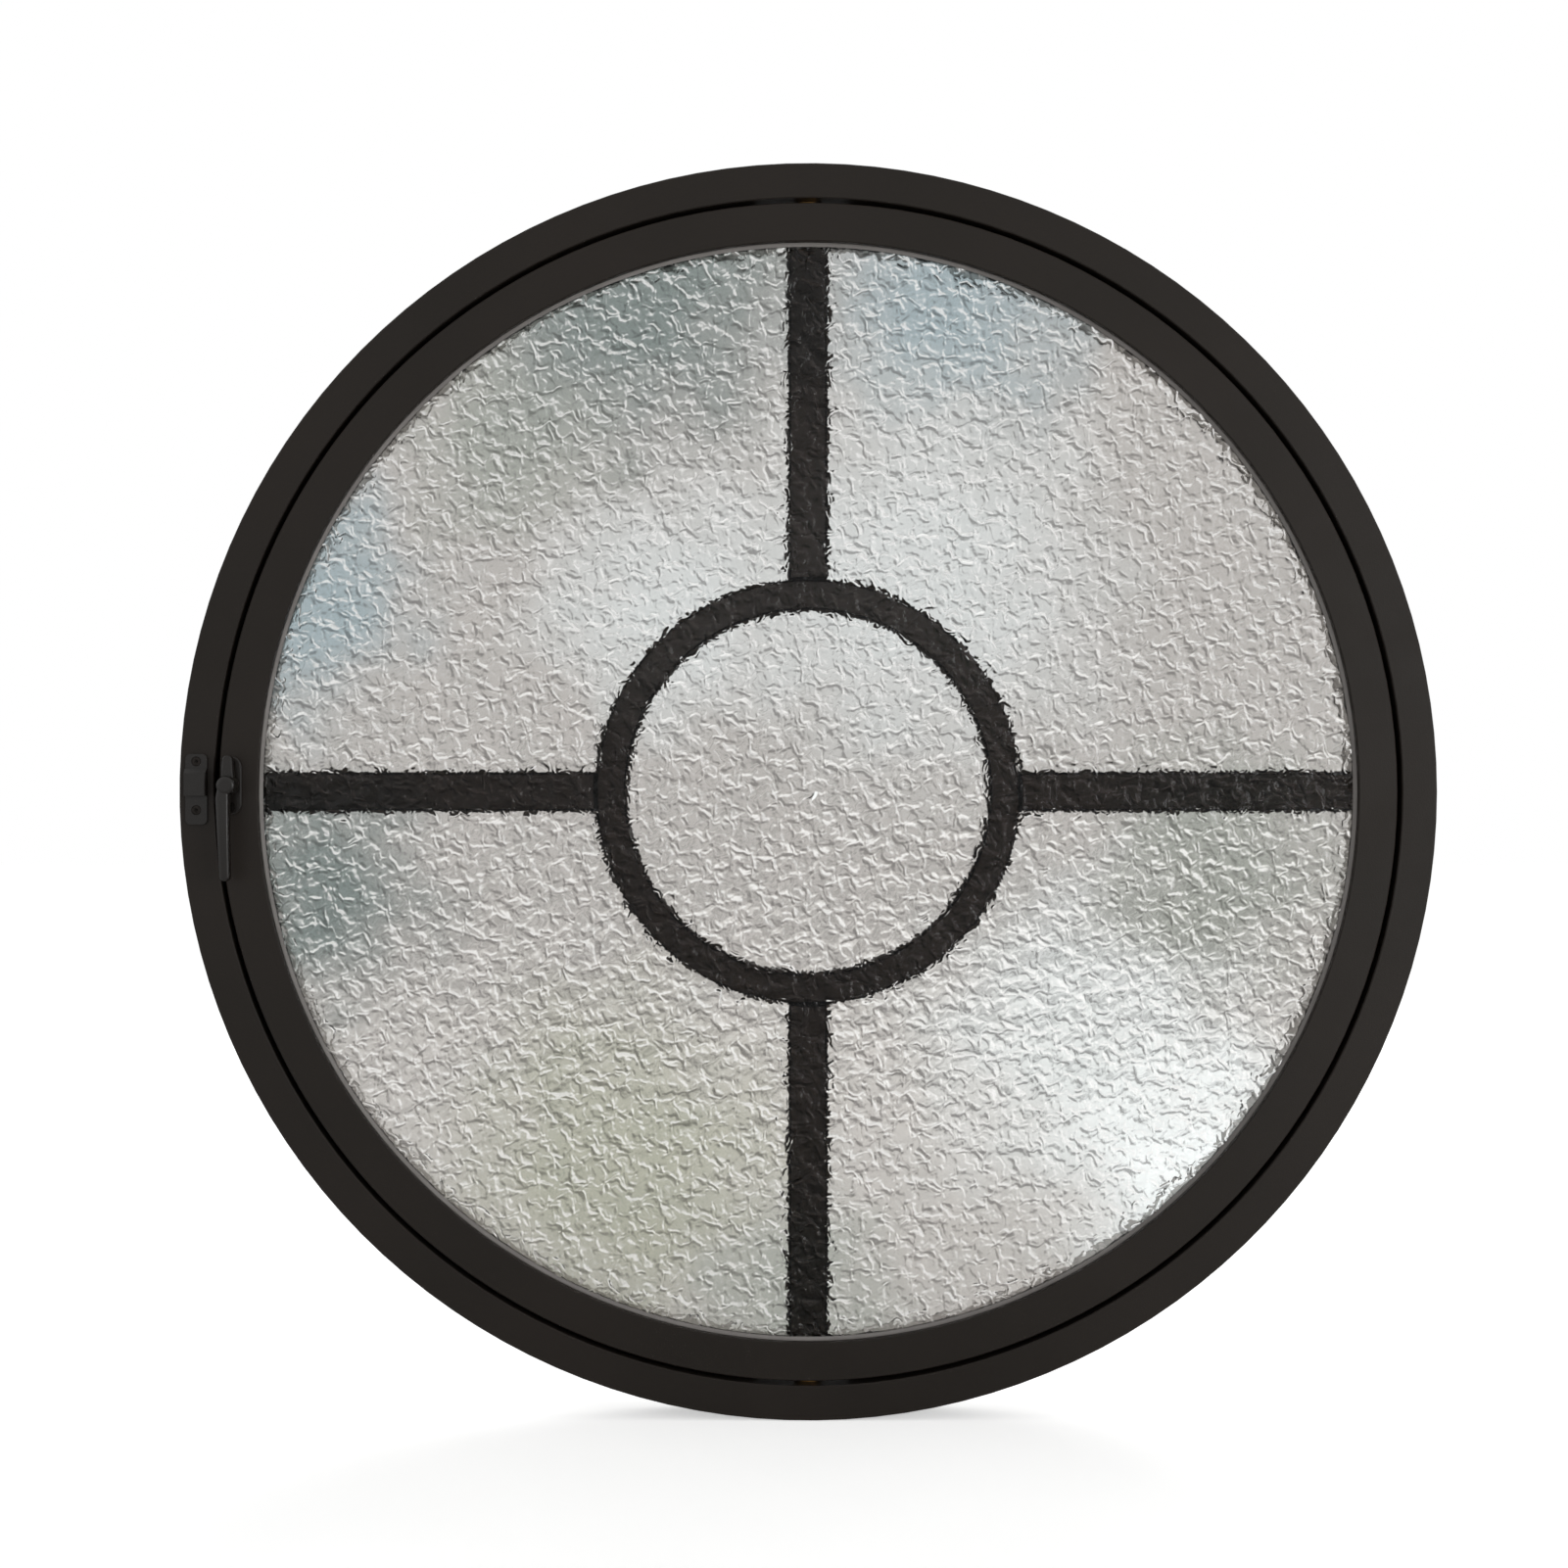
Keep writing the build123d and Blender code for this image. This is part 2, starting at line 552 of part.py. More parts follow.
def handle_base():
    """Base plate of the handle with the boss that its spindle turns in."""
    outline = Plane.XZ * SlotOverall(PLATE_LENGTH, PLATE_FACE, rotation=90)
    plate = Pos(0, FRONT, 0) * extrude(outline, PLATE)
    plate = chamfer(plate.faces().sort_by(Axis.Y)[0].edges(), PLATE_EDGE)
    body = plate + rod_y(BOSS_D / 2, BOSS_FRONT, PLATE_FRONT)
    body = body - rod_y(SPINDLE_D / 2 + SPINDLE_RUN, BOSS_FRONT - 1, FRONT + 1)
    return cut_all(HANDLE_AXIS * body, at_places(PLATE_PLACES, screw_hole(SCREW_SMALL, SCREW_LENGTH)))


def handle_lever():
    """Cast lever: domed hub, nose above it and a long arm hanging down."""
    hub = rod_y(HUB_D / 2, HUB_FRONT, HUB_BACK)
    hub = fillet(hub.edges().sort_by(Axis.Y)[0], HUB_DOME)
    nose_outline = Polyline(
        (-NOSE_ROOT / 2, 0), (-NOSE_TIP / 2, NOSE), (NOSE_TIP / 2, NOSE), (NOSE_ROOT / 2, 0), close=True
    )
    nose_face = fillet(make_face(nose_outline).vertices().sort_by(Axis.Y)[-2:], NOSE_TIP / 2 - 0.5)
    nose = Pos(0, HUB_BACK, 0) * extrude(Plane.XZ * nose_face, NOSE_THICK)
    nose = chamfer(nose.faces().sort_by(Axis.Y)[0].edges(), EDGE)
    bore = rod_y(SPINDLE_D / 2, HUB_BACK - HUB, HUB_BACK + 1)
    return HANDLE_AXIS * (hub + nose + lever_arm() - bore)


def lever_arm():
    """Arm of the lever: its face outline and its side outline, crossed and rounded."""
    front_outline = Polyline(
        (ARM_TOP[0] + 2, 2), (ARM_TOP[0], -ARM_DROP / 8), (ARM_END[0], -ARM_DROP), (ARM_END[1], -ARM_DROP),
        (ARM_TOP[1], -ARM_DROP / 8), (ARM_TOP[1], 2), close=True,
    )
    front_face = make_face(front_outline)
    front_face = fillet(front_face.vertices().sort_by(Axis.Y)[:2], (ARM_END[1] - ARM_END[0]) / 2 - 0.3)
    depth = abs(HUB_FRONT) + ARM_LIFT
    broad = extrude(Plane.XZ * front_face, depth)
    near = HUB_FRONT + HUB_DOME / 2
    side = Polyline((near, 4), (near + ARM_THICK, 4)).edges() + [
        ThreePointArc(
            (near + ARM_THICK, 4), (near + ARM_THICK - ARM_LIFT, -ARM_DROP / 2),
            (near + ARM_THICK - 1, -ARM_DROP - 1),
        ),
        Line((near + ARM_THICK - 1, -ARM_DROP - 1), (near, -ARM_DROP - 1)),
        ThreePointArc((near, -ARM_DROP - 1), (near - ARM_LIFT, -ARM_DROP / 2), (near, 4)),
    ]
    side_face = make_face(side)
    slab = extrude(Plane.YZ * side_face, HUB_D, both=True)
    arm = broad & slab
    return fillet(arm.faces().sort_by(Axis.Y)[0].edges(), ARM_ROUND)


def handle_spindle():
    """Spindle fixed in the lever's hub, turning in the base plate."""
    return HANDLE_AXIS * rod_y(SPINDLE_D / 2, HUB_BACK - HUB, FRONT + SPINDLE_TAIL)


def spindle_clip():
    """Washer clip on the tail of the spindle, behind the base plate."""
    low = FRONT + WASHER_PLAY
    body = rod_y(CLIP_D / 2, low, low + CLIP) - rod_y(SPINDLE_D / 2, low - 1, low + CLIP + 1)
    return HANDLE_AXIS * body


def friction_washer():
    """Plastic washer on the boss, which gives the handle its drag."""
    body = rod_y(WASHER_D / 2, BOSS_FRONT - WASHER, BOSS_FRONT)
    return HANDLE_AXIS * (body - rod_y(SPINDLE_D / 2 + SPINDLE_RUN, BOSS_FRONT - 2 * WASHER, BOSS_FRONT + 1))


def both_ends(name, solid):
    """The same piece at the top and, turned over about X, at the bottom."""
    return {name + "_top": solid, name + "_bottom": Rot(180, 0, 0) * solid}


def screw_group(places, size, length):
    """Identical screws, kept together as one group."""
    return at_places(places, screw(size, length))


parts = {
    "frame_ring": frame_ring(),
    "frame_weather_bar": frame_weather_bar(),
    "frame_weather_seal": frame_weather_seal(),
    "frame_bar_screws": screw_group(FRAME_BAR_PLACES, SCREW_SMALL, BAR_SCREW_LENGTH),
    "frame_block_screws": mirrored_ends(screw_group(FRAME_BLOCK_PLACES, SCREW_LARGE, SCREW_LENGTH)),
    "keeper": keeper(),
    "keeper_screws": screw_group(KEEPER_PLACES, SCREW_SMALL, SCREW_LENGTH),
    "sash_ring": sash_ring(),
    "sash_weather_bar": sash_weather_bar(),
    "sash_weather_seal": sash_weather_seal(),
    "sash_bar_screws": screw_group(SASH_BAR_PLACES, SCREW_SMALL, BAR_SCREW_LENGTH),
    "sash_block_screws": mirrored_ends(screw_group(SASH_BLOCK_PLACES, SCREW_LARGE, SCREW_LENGTH - 2)),
    "glazing_bead": glazing_bead(),
    "bead_screws": screw_group(BEAD_PLACES, SCREW_SMALL, BEAD_SCREW_LENGTH),
    "gasket_inside": gasket_inside(),
    "gasket_outside": gasket_outside(),
    "textured_pane": pane(GLASS_FRONT),
    "clear_pane": pane(CAVITY_BACK),
    "spacer": spacer(),
    "edge_sealant": edge_sealant(),
    "setting_blocks": setting_blocks(),
    "grille_ring": grille_ring(),
    "grille_keys": [turned(a) * grille_key(0) for a in range(0, 360, 90)],
    "grille_clips": [turned(a) * grille_clip() for a in range(0, 360, 90)],
    "handle_base": handle_base(),
    "handle_base_screws": screw_group(PLATE_PLACES, SCREW_SMALL, SCREW_LENGTH),
    "handle_lever": handle_lever(),
    "handle_spindle": handle_spindle(),
    "handle_clip": spindle_clip(),
    "handle_washer": friction_washer(),
}
for number, side in enumerate(("top", "right", "bottom", "left")):
    parts["grille_bar_" + side] = turned(90 * number) * grille_bar()
parts |= both_ends("frame_block", frame_block())
parts |= both_ends("pivot_pin", pivot_pin())
parts |= both_ends("thrust_washer", thrust_washer())
parts |= both_ends("sash_block", sash_block())
parts |= both_ends("pivot_bush", pivot_bush())

os.makedirs("parts", exist_ok=True)
for name, shape in parts.items():
    solid = Compound(children=shape) if isinstance(shape, list) else shape
    export_step(solid, f"parts/{name}.step")
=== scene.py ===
# %% [markdown]
# # A round pivot window in obscure glass
# The window comes out of CAD as clean solids: two bent aluminium rings, a sealed
# glass unit with a cross-and-ring grille inside it, pivots, screws and a lever.
# Blender adds what CAD leaves out: the rolled texture of the glass, the powder
# coat, the sockets of the screws, a fillet of sealant, a studio and a camera.
# The first step loads the solids. They are in metres and stay where they are.

# %% Load the window
import json
import math

import bmesh
import bpy
from mathutils import Matrix, Vector

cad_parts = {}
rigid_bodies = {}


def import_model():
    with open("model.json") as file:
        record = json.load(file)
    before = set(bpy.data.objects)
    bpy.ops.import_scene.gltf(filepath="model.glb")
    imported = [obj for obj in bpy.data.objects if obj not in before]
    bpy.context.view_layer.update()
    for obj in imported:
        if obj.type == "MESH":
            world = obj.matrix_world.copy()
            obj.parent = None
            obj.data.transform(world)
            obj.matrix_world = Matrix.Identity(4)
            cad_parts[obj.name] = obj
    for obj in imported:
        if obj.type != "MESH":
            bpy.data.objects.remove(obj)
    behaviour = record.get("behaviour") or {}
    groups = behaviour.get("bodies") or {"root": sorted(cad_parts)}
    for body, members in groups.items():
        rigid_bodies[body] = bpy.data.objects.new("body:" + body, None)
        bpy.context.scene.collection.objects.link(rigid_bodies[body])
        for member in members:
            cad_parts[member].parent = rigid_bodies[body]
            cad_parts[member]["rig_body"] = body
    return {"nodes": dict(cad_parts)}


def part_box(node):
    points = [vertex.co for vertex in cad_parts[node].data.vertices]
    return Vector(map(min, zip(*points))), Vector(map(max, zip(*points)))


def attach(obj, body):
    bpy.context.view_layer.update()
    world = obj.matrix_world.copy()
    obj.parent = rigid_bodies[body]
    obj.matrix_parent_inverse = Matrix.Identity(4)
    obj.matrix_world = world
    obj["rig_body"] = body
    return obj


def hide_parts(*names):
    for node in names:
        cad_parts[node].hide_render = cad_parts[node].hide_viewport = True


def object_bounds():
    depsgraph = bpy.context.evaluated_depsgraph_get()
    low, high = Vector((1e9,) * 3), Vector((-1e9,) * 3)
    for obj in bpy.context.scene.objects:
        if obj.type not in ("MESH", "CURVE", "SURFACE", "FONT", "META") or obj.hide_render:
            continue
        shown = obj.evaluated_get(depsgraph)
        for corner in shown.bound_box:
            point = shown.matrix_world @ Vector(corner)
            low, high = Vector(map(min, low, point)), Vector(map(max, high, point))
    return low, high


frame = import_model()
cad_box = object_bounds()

nodes = frame["nodes"]

# %% [markdown]
# ## Two small helpers
# Colours are picked on screen as sRGB hex values, but Blender works in linear
# light, so one function turns a hex value into linear numbers.
# Node trees are wired by one function too: it adds a node, sets its properties,
# fills its inputs with numbers, and links the inputs that are given a socket.

# %% Colour and node helpers
def linear(code):
    """A hex colour such as #2e2b28 as the four linear numbers Blender wants."""
    values = [int(code[i:i + 2], 16) / 255 for i in (1, 3, 5)]
    return [v / 12.92 if v <= 0.04045 else ((v + 0.055) / 1.055) ** 2.4 for v in values] + [1.0]


def add(tree, kind, inputs=None, **settings):
    """Add a node of that kind, set its properties, then fill or link its inputs."""
    node = tree.nodes.new(kind)
    for name, value in settings.items():
        setattr(node, name, value)
    for key, value in (inputs or {}).items():
        if isinstance(value, bpy.types.NodeSocket):
            tree.links.new(value, node.inputs[key])
        else:
            node.inputs[key].default_value = value
    return node


print("satin brown in linear light:", [round(v, 4) for v in linear("#2e2b28")])

# %% [markdown]
# ## Where a pattern gets its scale
# A procedural pattern needs a ruler. Object coordinates are in metres from the
# middle of the window, so multiplying them by 1000 gives millimetres, and the
# scale of a noise is then one over the real size of its grains.
# The CAD nodes sit at the origin, so the same ruler holds for every piece.

# %% A material that starts with a ruler in millimetres
def start_finish(name):
    """A new material with its output, its Principled shader and a ruler in mm."""
    material = bpy.data.materials.new(name)
    material.use_nodes = True
    tree = material.node_tree
    tree.nodes.clear()
    coordinates = add(tree, "ShaderNodeTexCoord")
    ruler = add(tree, "ShaderNodeVectorMath",
                {0: coordinates.outputs["Object"], 1: (1000, 1000, 1000)}, operation="MULTIPLY")
    shader = add(tree, "ShaderNodeBsdfPrincipled")
    add(tree, "ShaderNodeOutputMaterial", {"Surface": shader.outputs["BSDF"]})
    return tree, ruler.outputs["Vector"], shader, material


def blotches(tree, ruler, size_mm, detail=2.0):
    """Soft noise between 0 and 1 whose blotches are about size_mm across."""
    noise = add(tree, "ShaderNodeTexNoise", {"Vector": ruler, "Scale": 1 / size_mm, "Detail": detail})
    spread = add(tree, "ShaderNodeMapRange",
                 {"Value": noise.outputs["Fac"], "From Min": 0.3, "From Max": 0.7})
    return spread.outputs["Result"]


def wire(tree, shader, **links):
    """Link sockets to the shader's inputs, given as Base_Color=socket and so on."""
    for name, socket in links.items():
        tree.links.new(socket, shader.inputs[name.replace("_", " ")])


print("blotches and wire are ready; a Mix node takes its colours on sockets 6 and 7")

# %% [markdown]
# ## Powder-coated aluminium
# The rings are aluminium extrusions, bent and then sprayed with polyester powder
# that melts in an oven into a satin skin. The eye gets a very dark warm brown, a
# soft wide sheen, and, close up, a faint orange-peel skin about a millimetre wide.
# A flat colour would look like plastic, so the brown drifts a little over the
# ring, the gloss drifts with it, and the orange peel is a bump.

# %% Powder coat
PEEL_DEPTH_MM = 0.03


def powder_coat(name, dark, light, rough, peel_mm=1.1, shine=0.18):
    """Satin polyester powder on aluminium: a dielectric skin, so metallic stays 0."""
    tree, ruler, shader, material = start_finish(name)
    drift = blotches(tree, ruler, 120)
    speckle = blotches(tree, ruler, 0.9, detail=3)
    broad = add(tree, "ShaderNodeMix", {0: drift, 6: linear(dark), 7: linear(light)}, data_type="RGBA")
    share = add(tree, "ShaderNodeMath", {0: speckle, 1: 0.35}, operation="MULTIPLY")
    fine = add(tree, "ShaderNodeMix", {0: share.outputs[0], 6: broad.outputs[2], 7: linear(light)},
               data_type="RGBA")
    gloss = add(tree, "ShaderNodeMapRange",
                {"Value": blotches(tree, ruler, 45), "To Min": rough - 0.05, "To Max": rough + 0.07})
    peel = add(tree, "ShaderNodeBump",
               {"Height": blotches(tree, ruler, peel_mm, detail=1), "Distance": PEEL_DEPTH_MM / 1000})
    wire(tree, shader, Base_Color=fine.outputs[2], Roughness=gloss.outputs[0], Normal=peel.outputs["Normal"])
    shader.inputs["IOR"].default_value = 1.5
    shader.inputs["Specular IOR Level"].default_value = shine
    return material


ring_coat = powder_coat("powder_coat_frame_and_sash", "#1d1915", "#221d19", 0.46)
bar_coat = powder_coat("powder_coat_weather_bars", "#18130f", "#1c1612", 0.5)
grille_coat = powder_coat("powder_coat_grille", "#2f261f", "#362c24", 0.55)
handle_coat = powder_coat("powder_coat_cast_handle", "#110e0b", "#16120f", 0.3, peel_mm=0.8, shine=0.34)
print("powder coats:", ring_coat.name, bar_coat.name, grille_coat.name, handle_coat.name)

# %% [markdown]
# ## Bare metals
# Pivots and washers are bare metal: zinc-plated steel is a cool grey with a
# spangle of patches a few millimetres wide and fine tooling lines, and bronze is
# a warm brown-gold that dulls in use. A metal is metallic 1 and keeps its IOR.
# The spacer between the panes is anodised aluminium, pale and nearly matt.

# %% Metals
def bare_metal(name, dark, light, rough, grain_mm):
    """A metal with patches in its colour and a brushed grain in its gloss."""
    tree, ruler, shader, material = start_finish(name)
    patches = blotches(tree, ruler, grain_mm)
    tone = add(tree, "ShaderNodeMix", {0: patches, 6: linear(dark), 7: linear(light)}, data_type="RGBA")
    stretched = add(tree, "ShaderNodeVectorMath", {0: ruler, 1: (1, 1, 0.12)}, operation="MULTIPLY")
    grain = blotches(tree, stretched.outputs["Vector"], 0.5, detail=3)
    gloss = add(tree, "ShaderNodeMapRange", {"Value": grain, "To Min": rough - 0.08, "To Max": rough + 0.1})
    lines = add(tree, "ShaderNodeBump", {"Height": grain, "Distance": 0.00001, "Strength": 0.6})
    wire(tree, shader, Base_Color=tone.outputs[2], Roughness=gloss.outputs[0], Normal=lines.outputs["Normal"])
    shader.inputs["Metallic"].default_value = 1.0
    return material


zinc_steel = bare_metal("zinc_plated_steel", "#9a9ca0", "#b9bcc0", 0.32, 4)
bronze = bare_metal("sintered_bronze", "#8a6a3f", "#a98551", 0.38, 3)
anodised = bare_metal("anodised_aluminium_spacer", "#cfccc9", "#e0dedb", 0.62, 12)
print("metals:", zinc_steel.name, bronze.name, anodised.name)

# %% [markdown]
# ## Blackened screws, rubber, sealant and nylon
# These small pieces are easy to leave as flat black, and then they read as holes.
# A blackened screw is steel under a thin oxide, so it keeps a dark metallic glint.
# Rubber gaskets are matt with fine moulding grain, sealant is a soft black paste
# smoothed by a tool, and the glazing blocks and washers are moulded nylon.

# %% Screws and soft pieces
def moulded(name, dark, light, rough, grain_mm, depth_mm, ior):
    """A moulded or tooled plastic or rubber, matt, with its surface grain as bump."""
    tree, ruler, shader, material = start_finish(name)
    tone = add(tree, "ShaderNodeMix", {0: blotches(tree, ruler, grain_mm * 12), 6: linear(dark),
                                       7: linear(light)}, data_type="RGBA")
    grain = blotches(tree, ruler, grain_mm, detail=3)
    gloss = add(tree, "ShaderNodeMapRange", {"Value": grain, "To Min": rough - 0.06, "To Max": rough + 0.06})
    bump = add(tree, "ShaderNodeBump", {"Height": grain, "Distance": depth_mm / 1000})
    wire(tree, shader, Base_Color=tone.outputs[2], Roughness=gloss.outputs[0], Normal=bump.outputs["Normal"])
    shader.inputs["IOR"].default_value = ior
    return material


blackened_screw = bare_metal("blackened_steel_screw", "#1f1d1b", "#2b2826", 0.4, 2)
epdm = moulded("epdm_rubber", "#161514", "#1e1d1c", 0.75, 0.6, 0.02, 1.52)
black_sealant = moulded("polysulfide_sealant", "#121212", "#1b1a1a", 0.6, 3.0, 0.1, 1.5)
nylon = moulded("moulded_nylon", "#2b2b2a", "#383836", 0.45, 0.5, 0.01, 1.53)
print("small finishes:", blackened_screw.name, epdm.name, black_sealant.name, nylon.name)

# %% [markdown]
# ## The wrinkle of the obscure glass
# This glass is rolled while soft against a patterned roller, which leaves small
# rounded cells with raised, broken rims. The cells are drawn 12 mm apart, a little
# coarser than on such glass, so that they show at this size. Real panes can be
# made from a scan, but a noise that bends a cell pattern gives the same family of
# shapes at any size. It is a node group, because the mesh, the bump and the painted
# light and shade in the colour of the glass all read a height, and it works in
# millimetres. The mesh has its own softer version, since its faces are too large
# for the finest rims.

# %% The height pattern, for shader trees and geometry trees alike
CELL_MM = 12.0
BEND_MM = 8.0
DRIFT_MM, BREAK_MM, GRIT_MM = 14, 11, 4  # blotch sizes of the bend, the broken rims and the pimples


def wrinkle_group(name, tree_type, rim_mm, grit_share):
    """A node group: position in mm in, height out. rim_mm is half the width of a rim,
    and grit_share adds fine pimples, which the mesh is too coarse to carry."""
    group = bpy.data.node_groups.new(name, tree_type)
    group.interface.new_socket("Position", in_out="INPUT", socket_type="NodeSocketVector")
    group.interface.new_socket("Height", in_out="OUTPUT", socket_type="NodeSocketFloat")
    start = add(group, "NodeGroupInput").outputs["Position"]
    split = add(group, "ShaderNodeSeparateXYZ", {"Vector": start})
    flat = add(group, "ShaderNodeCombineXYZ", {"X": split.outputs["X"], "Y": split.outputs["Z"]}).outputs[0]
    drift = add(group, "ShaderNodeTexNoise", {"Vector": flat, "Scale": 1 / DRIFT_MM, "Detail": 1.5},
                noise_dimensions="2D")
    centred = add(group, "ShaderNodeVectorMath", {0: drift.outputs["Color"], 1: (0.5, 0.5, 0.5)},
                  operation="SUBTRACT")
    push = add(group, "ShaderNodeVectorMath", {0: centred.outputs[0], 1: (2 * BEND_MM, 2 * BEND_MM, 0)},
               operation="MULTIPLY")
    bent = add(group, "ShaderNodeVectorMath", {0: flat, 1: push.outputs[0]}, operation="ADD").outputs[0]
    cells = add(group, "ShaderNodeTexVoronoi", {"Vector": bent, "Scale": 1 / CELL_MM},
                feature="DISTANCE_TO_EDGE", voronoi_dimensions="2D")
    rims = add(group, "ShaderNodeMapRange", {"Value": cells.outputs["Distance"], "From Min": rim_mm / CELL_MM,
                                             "From Max": 0.0}, interpolation_type="SMOOTHSTEP")
    broken = add(group, "ShaderNodeTexNoise", {"Vector": flat, "Scale": 1 / BREAK_MM, "Detail": 0.0},
                 noise_dimensions="2D")
    kept = add(group, "ShaderNodeMapRange",
               {"Value": broken.outputs["Fac"], "From Min": 0.36, "From Max": 0.6, "To Max": 0.23})
    swell = add(group, "ShaderNodeTexNoise", {"Vector": bent, "Scale": 1 / CELL_MM, "Detail": 1.3},
                noise_dimensions="2D")
    rims_part = add(group, "ShaderNodeMath", {0: rims.outputs["Result"], 1: kept.outputs["Result"]},
                    operation="MULTIPLY")
    grit = add(group, "ShaderNodeTexNoise", {"Vector": bent, "Scale": 1 / GRIT_MM, "Detail": 0.5},
               noise_dimensions="2D")
    grit_part = add(group, "ShaderNodeMath", {0: grit.outputs["Fac"], 1: grit_share}, operation="MULTIPLY")
    coarse = add(group, "ShaderNodeMath", {0: rims_part.outputs[0], 1: swell.outputs["Fac"]}, operation="ADD")
    total = add(group, "ShaderNodeMath", {0: coarse.outputs[0], 1: grit_part.outputs[0]}, operation="ADD")
    add(group, "NodeGroupOutput", {"Height": total.outputs[0]})
    return group


glass_height = wrinkle_group("wrinkle_height", "ShaderNodeTree", 2.6, 0.26)
mesh_height = wrinkle_group("wrinkle_height_mesh", "GeometryNodeTree", 3.6, 0.0)
print("wrinkle cells", CELL_MM, "mm apart, bent by up to", BEND_MM, "mm")

# %% [markdown]
# ## Obscure glass
# Glass is clear, so its look is what it bends. Rays that cross the wrinkles come
# from different parts of the garden, which gives white rims, grey hollows and
# soft patches of sky and leaf. The refraction here is real, but the studio behind
# is plain white, so all of these are painted into the colour of the glass: a painted
# highlight on one side of each rim, painted shade in the hollows, and a painted view
# of sky, leaf and sun in soft patches. The dark hook shapes beside the grille are a
# painted refraction of the bars: a mask that knows where the bars are paints them.

# %% Painted glass colour: painted highlight on one side of a rim, painted shade in its hollow, and a painted view in soft patches
# Colours of the painted view of garden and sky through the glass; SUN is a painted patch of sunlight.
LEAF, SKY, HAZE = "#868e8c", "#a6b2b7", "#d9dada"
STONE, MOSS, SUN = "#a9aaa4", "#aeada0", "#f2f4f5"
PAINTED_VIEW_PATCHES = [  # centre x and z in mm, radius in mm, tint
    (-240, 290, 130, STONE), (-130, 395, 180, LEAF), (115, 400, 160, SKY), (-400, 150, 130, SKY),
    (-395, -75, 130, LEAF), (90, 170, 220, HAZE), (-110, 150, 140, HAZE), (230, -200, 200, HAZE),
    (310, -310, 140, SUN), (330, -55, 140, STONE), (-150, -300, 200, MOSS), (-10, -400, 110, STONE),
]


def height_at(tree, ruler, shift):
    """The wrinkle height, read at a small sideways shift in mm."""
    moved = add(tree, "ShaderNodeVectorMath", {0: ruler, 1: shift}, operation="ADD")
    reader = add(tree, "ShaderNodeGroup", node_tree=glass_height)
    tree.links.new(moved.outputs[0], reader.inputs["Position"])
    return reader.outputs["Height"]


def paint_view_patches(tree, ruler):
    """Large soft patches of painted view colour, the sky, leaf and sun seen through the glass, their rims
    bent by noise.
    """
    wander = add(tree, "ShaderNodeTexNoise", {"Vector": ruler, "Scale": 1 / 60, "Detail": 2.0})
    centred = add(tree, "ShaderNodeVectorMath", {0: wander.outputs["Color"], 1: (0.5, 0.5, 0.5)},
                  operation="SUBTRACT")
    push = add(tree, "ShaderNodeVectorMath", {0: centred.outputs[0], 1: (120, 0, 120)}, operation="MULTIPLY")
    place = add(tree, "ShaderNodeVectorMath", {0: ruler, 1: push.outputs[0]}, operation="ADD").outputs[0]
    # The grey of the painted view between the patches.
    colour = linear("#bfbab7")
    for x, z, radius, code in PAINTED_VIEW_PATCHES:
        far = add(tree, "ShaderNodeVectorMath", {0: place, 1: (x, -16, z)}, operation="DISTANCE")
        near = add(tree, "ShaderNodeMapRange", {"Value": far.outputs["Value"], "From Min": radius,
                                                "From Max": radius * 0.15}, interpolation_type="SMOOTHSTEP")
        mix = add(tree, "ShaderNodeMix", {0: near.outputs["Result"], 6: colour, 7: linear(code)},
                  data_type="RGBA")
        colour = mix.outputs[2]
    return colour


# The cross and ring of the grille, used for the painted refraction of the bars in the glass.
BAR_HALF_MM = 15.5
RING_MM = (145.5, 170.0)
REACH_MM = 26.0  # how far a slope of 1 carries the eye sideways


def distance_to_grille(tree, x, z):
    """Distance in mm from a point to the cross and ring behind the glass, negative inside them."""
    across = [add(tree, "ShaderNodeMath", {0: side}, operation="ABSOLUTE").outputs[0] for side in (x, z)]
    nearest = add(tree, "ShaderNodeMath", {0: across[0], 1: across[1]}, operation="MINIMUM")
    to_bar = add(tree, "ShaderNodeMath", {0: nearest.outputs[0], 1: BAR_HALF_MM}, operation="SUBTRACT")
    point = add(tree, "ShaderNodeCombineXYZ", {"X": x, "Z": z})
    radius = add(tree, "ShaderNodeVectorMath", {0: point.outputs[0]}, operation="LENGTH").outputs["Value"]
    inward = add(tree, "ShaderNodeMath", {0: RING_MM[1], 1: radius}, operation="SUBTRACT")
    bar = add(tree, "ShaderNodeMath", {0: to_bar.outputs[0], 1: inward.outputs[0]}, operation="MAXIMUM")
    middle = add(tree, "ShaderNodeMath", {0: radius, 1: sum(RING_MM) / 2}, operation="SUBTRACT")
    off = add(tree, "ShaderNodeMath", {0: middle.outputs[0]}, operation="ABSOLUTE")
    ring = add(tree, "ShaderNodeMath", {0: off.outputs[0], 1: (RING_MM[1] - RING_MM[0]) / 2},
               operation="SUBTRACT")
    nearer = add(tree, "ShaderNodeMath", {0: bar.outputs[0], 1: ring.outputs[0]}, operation="MINIMUM")
    return nearer.outputs[0]


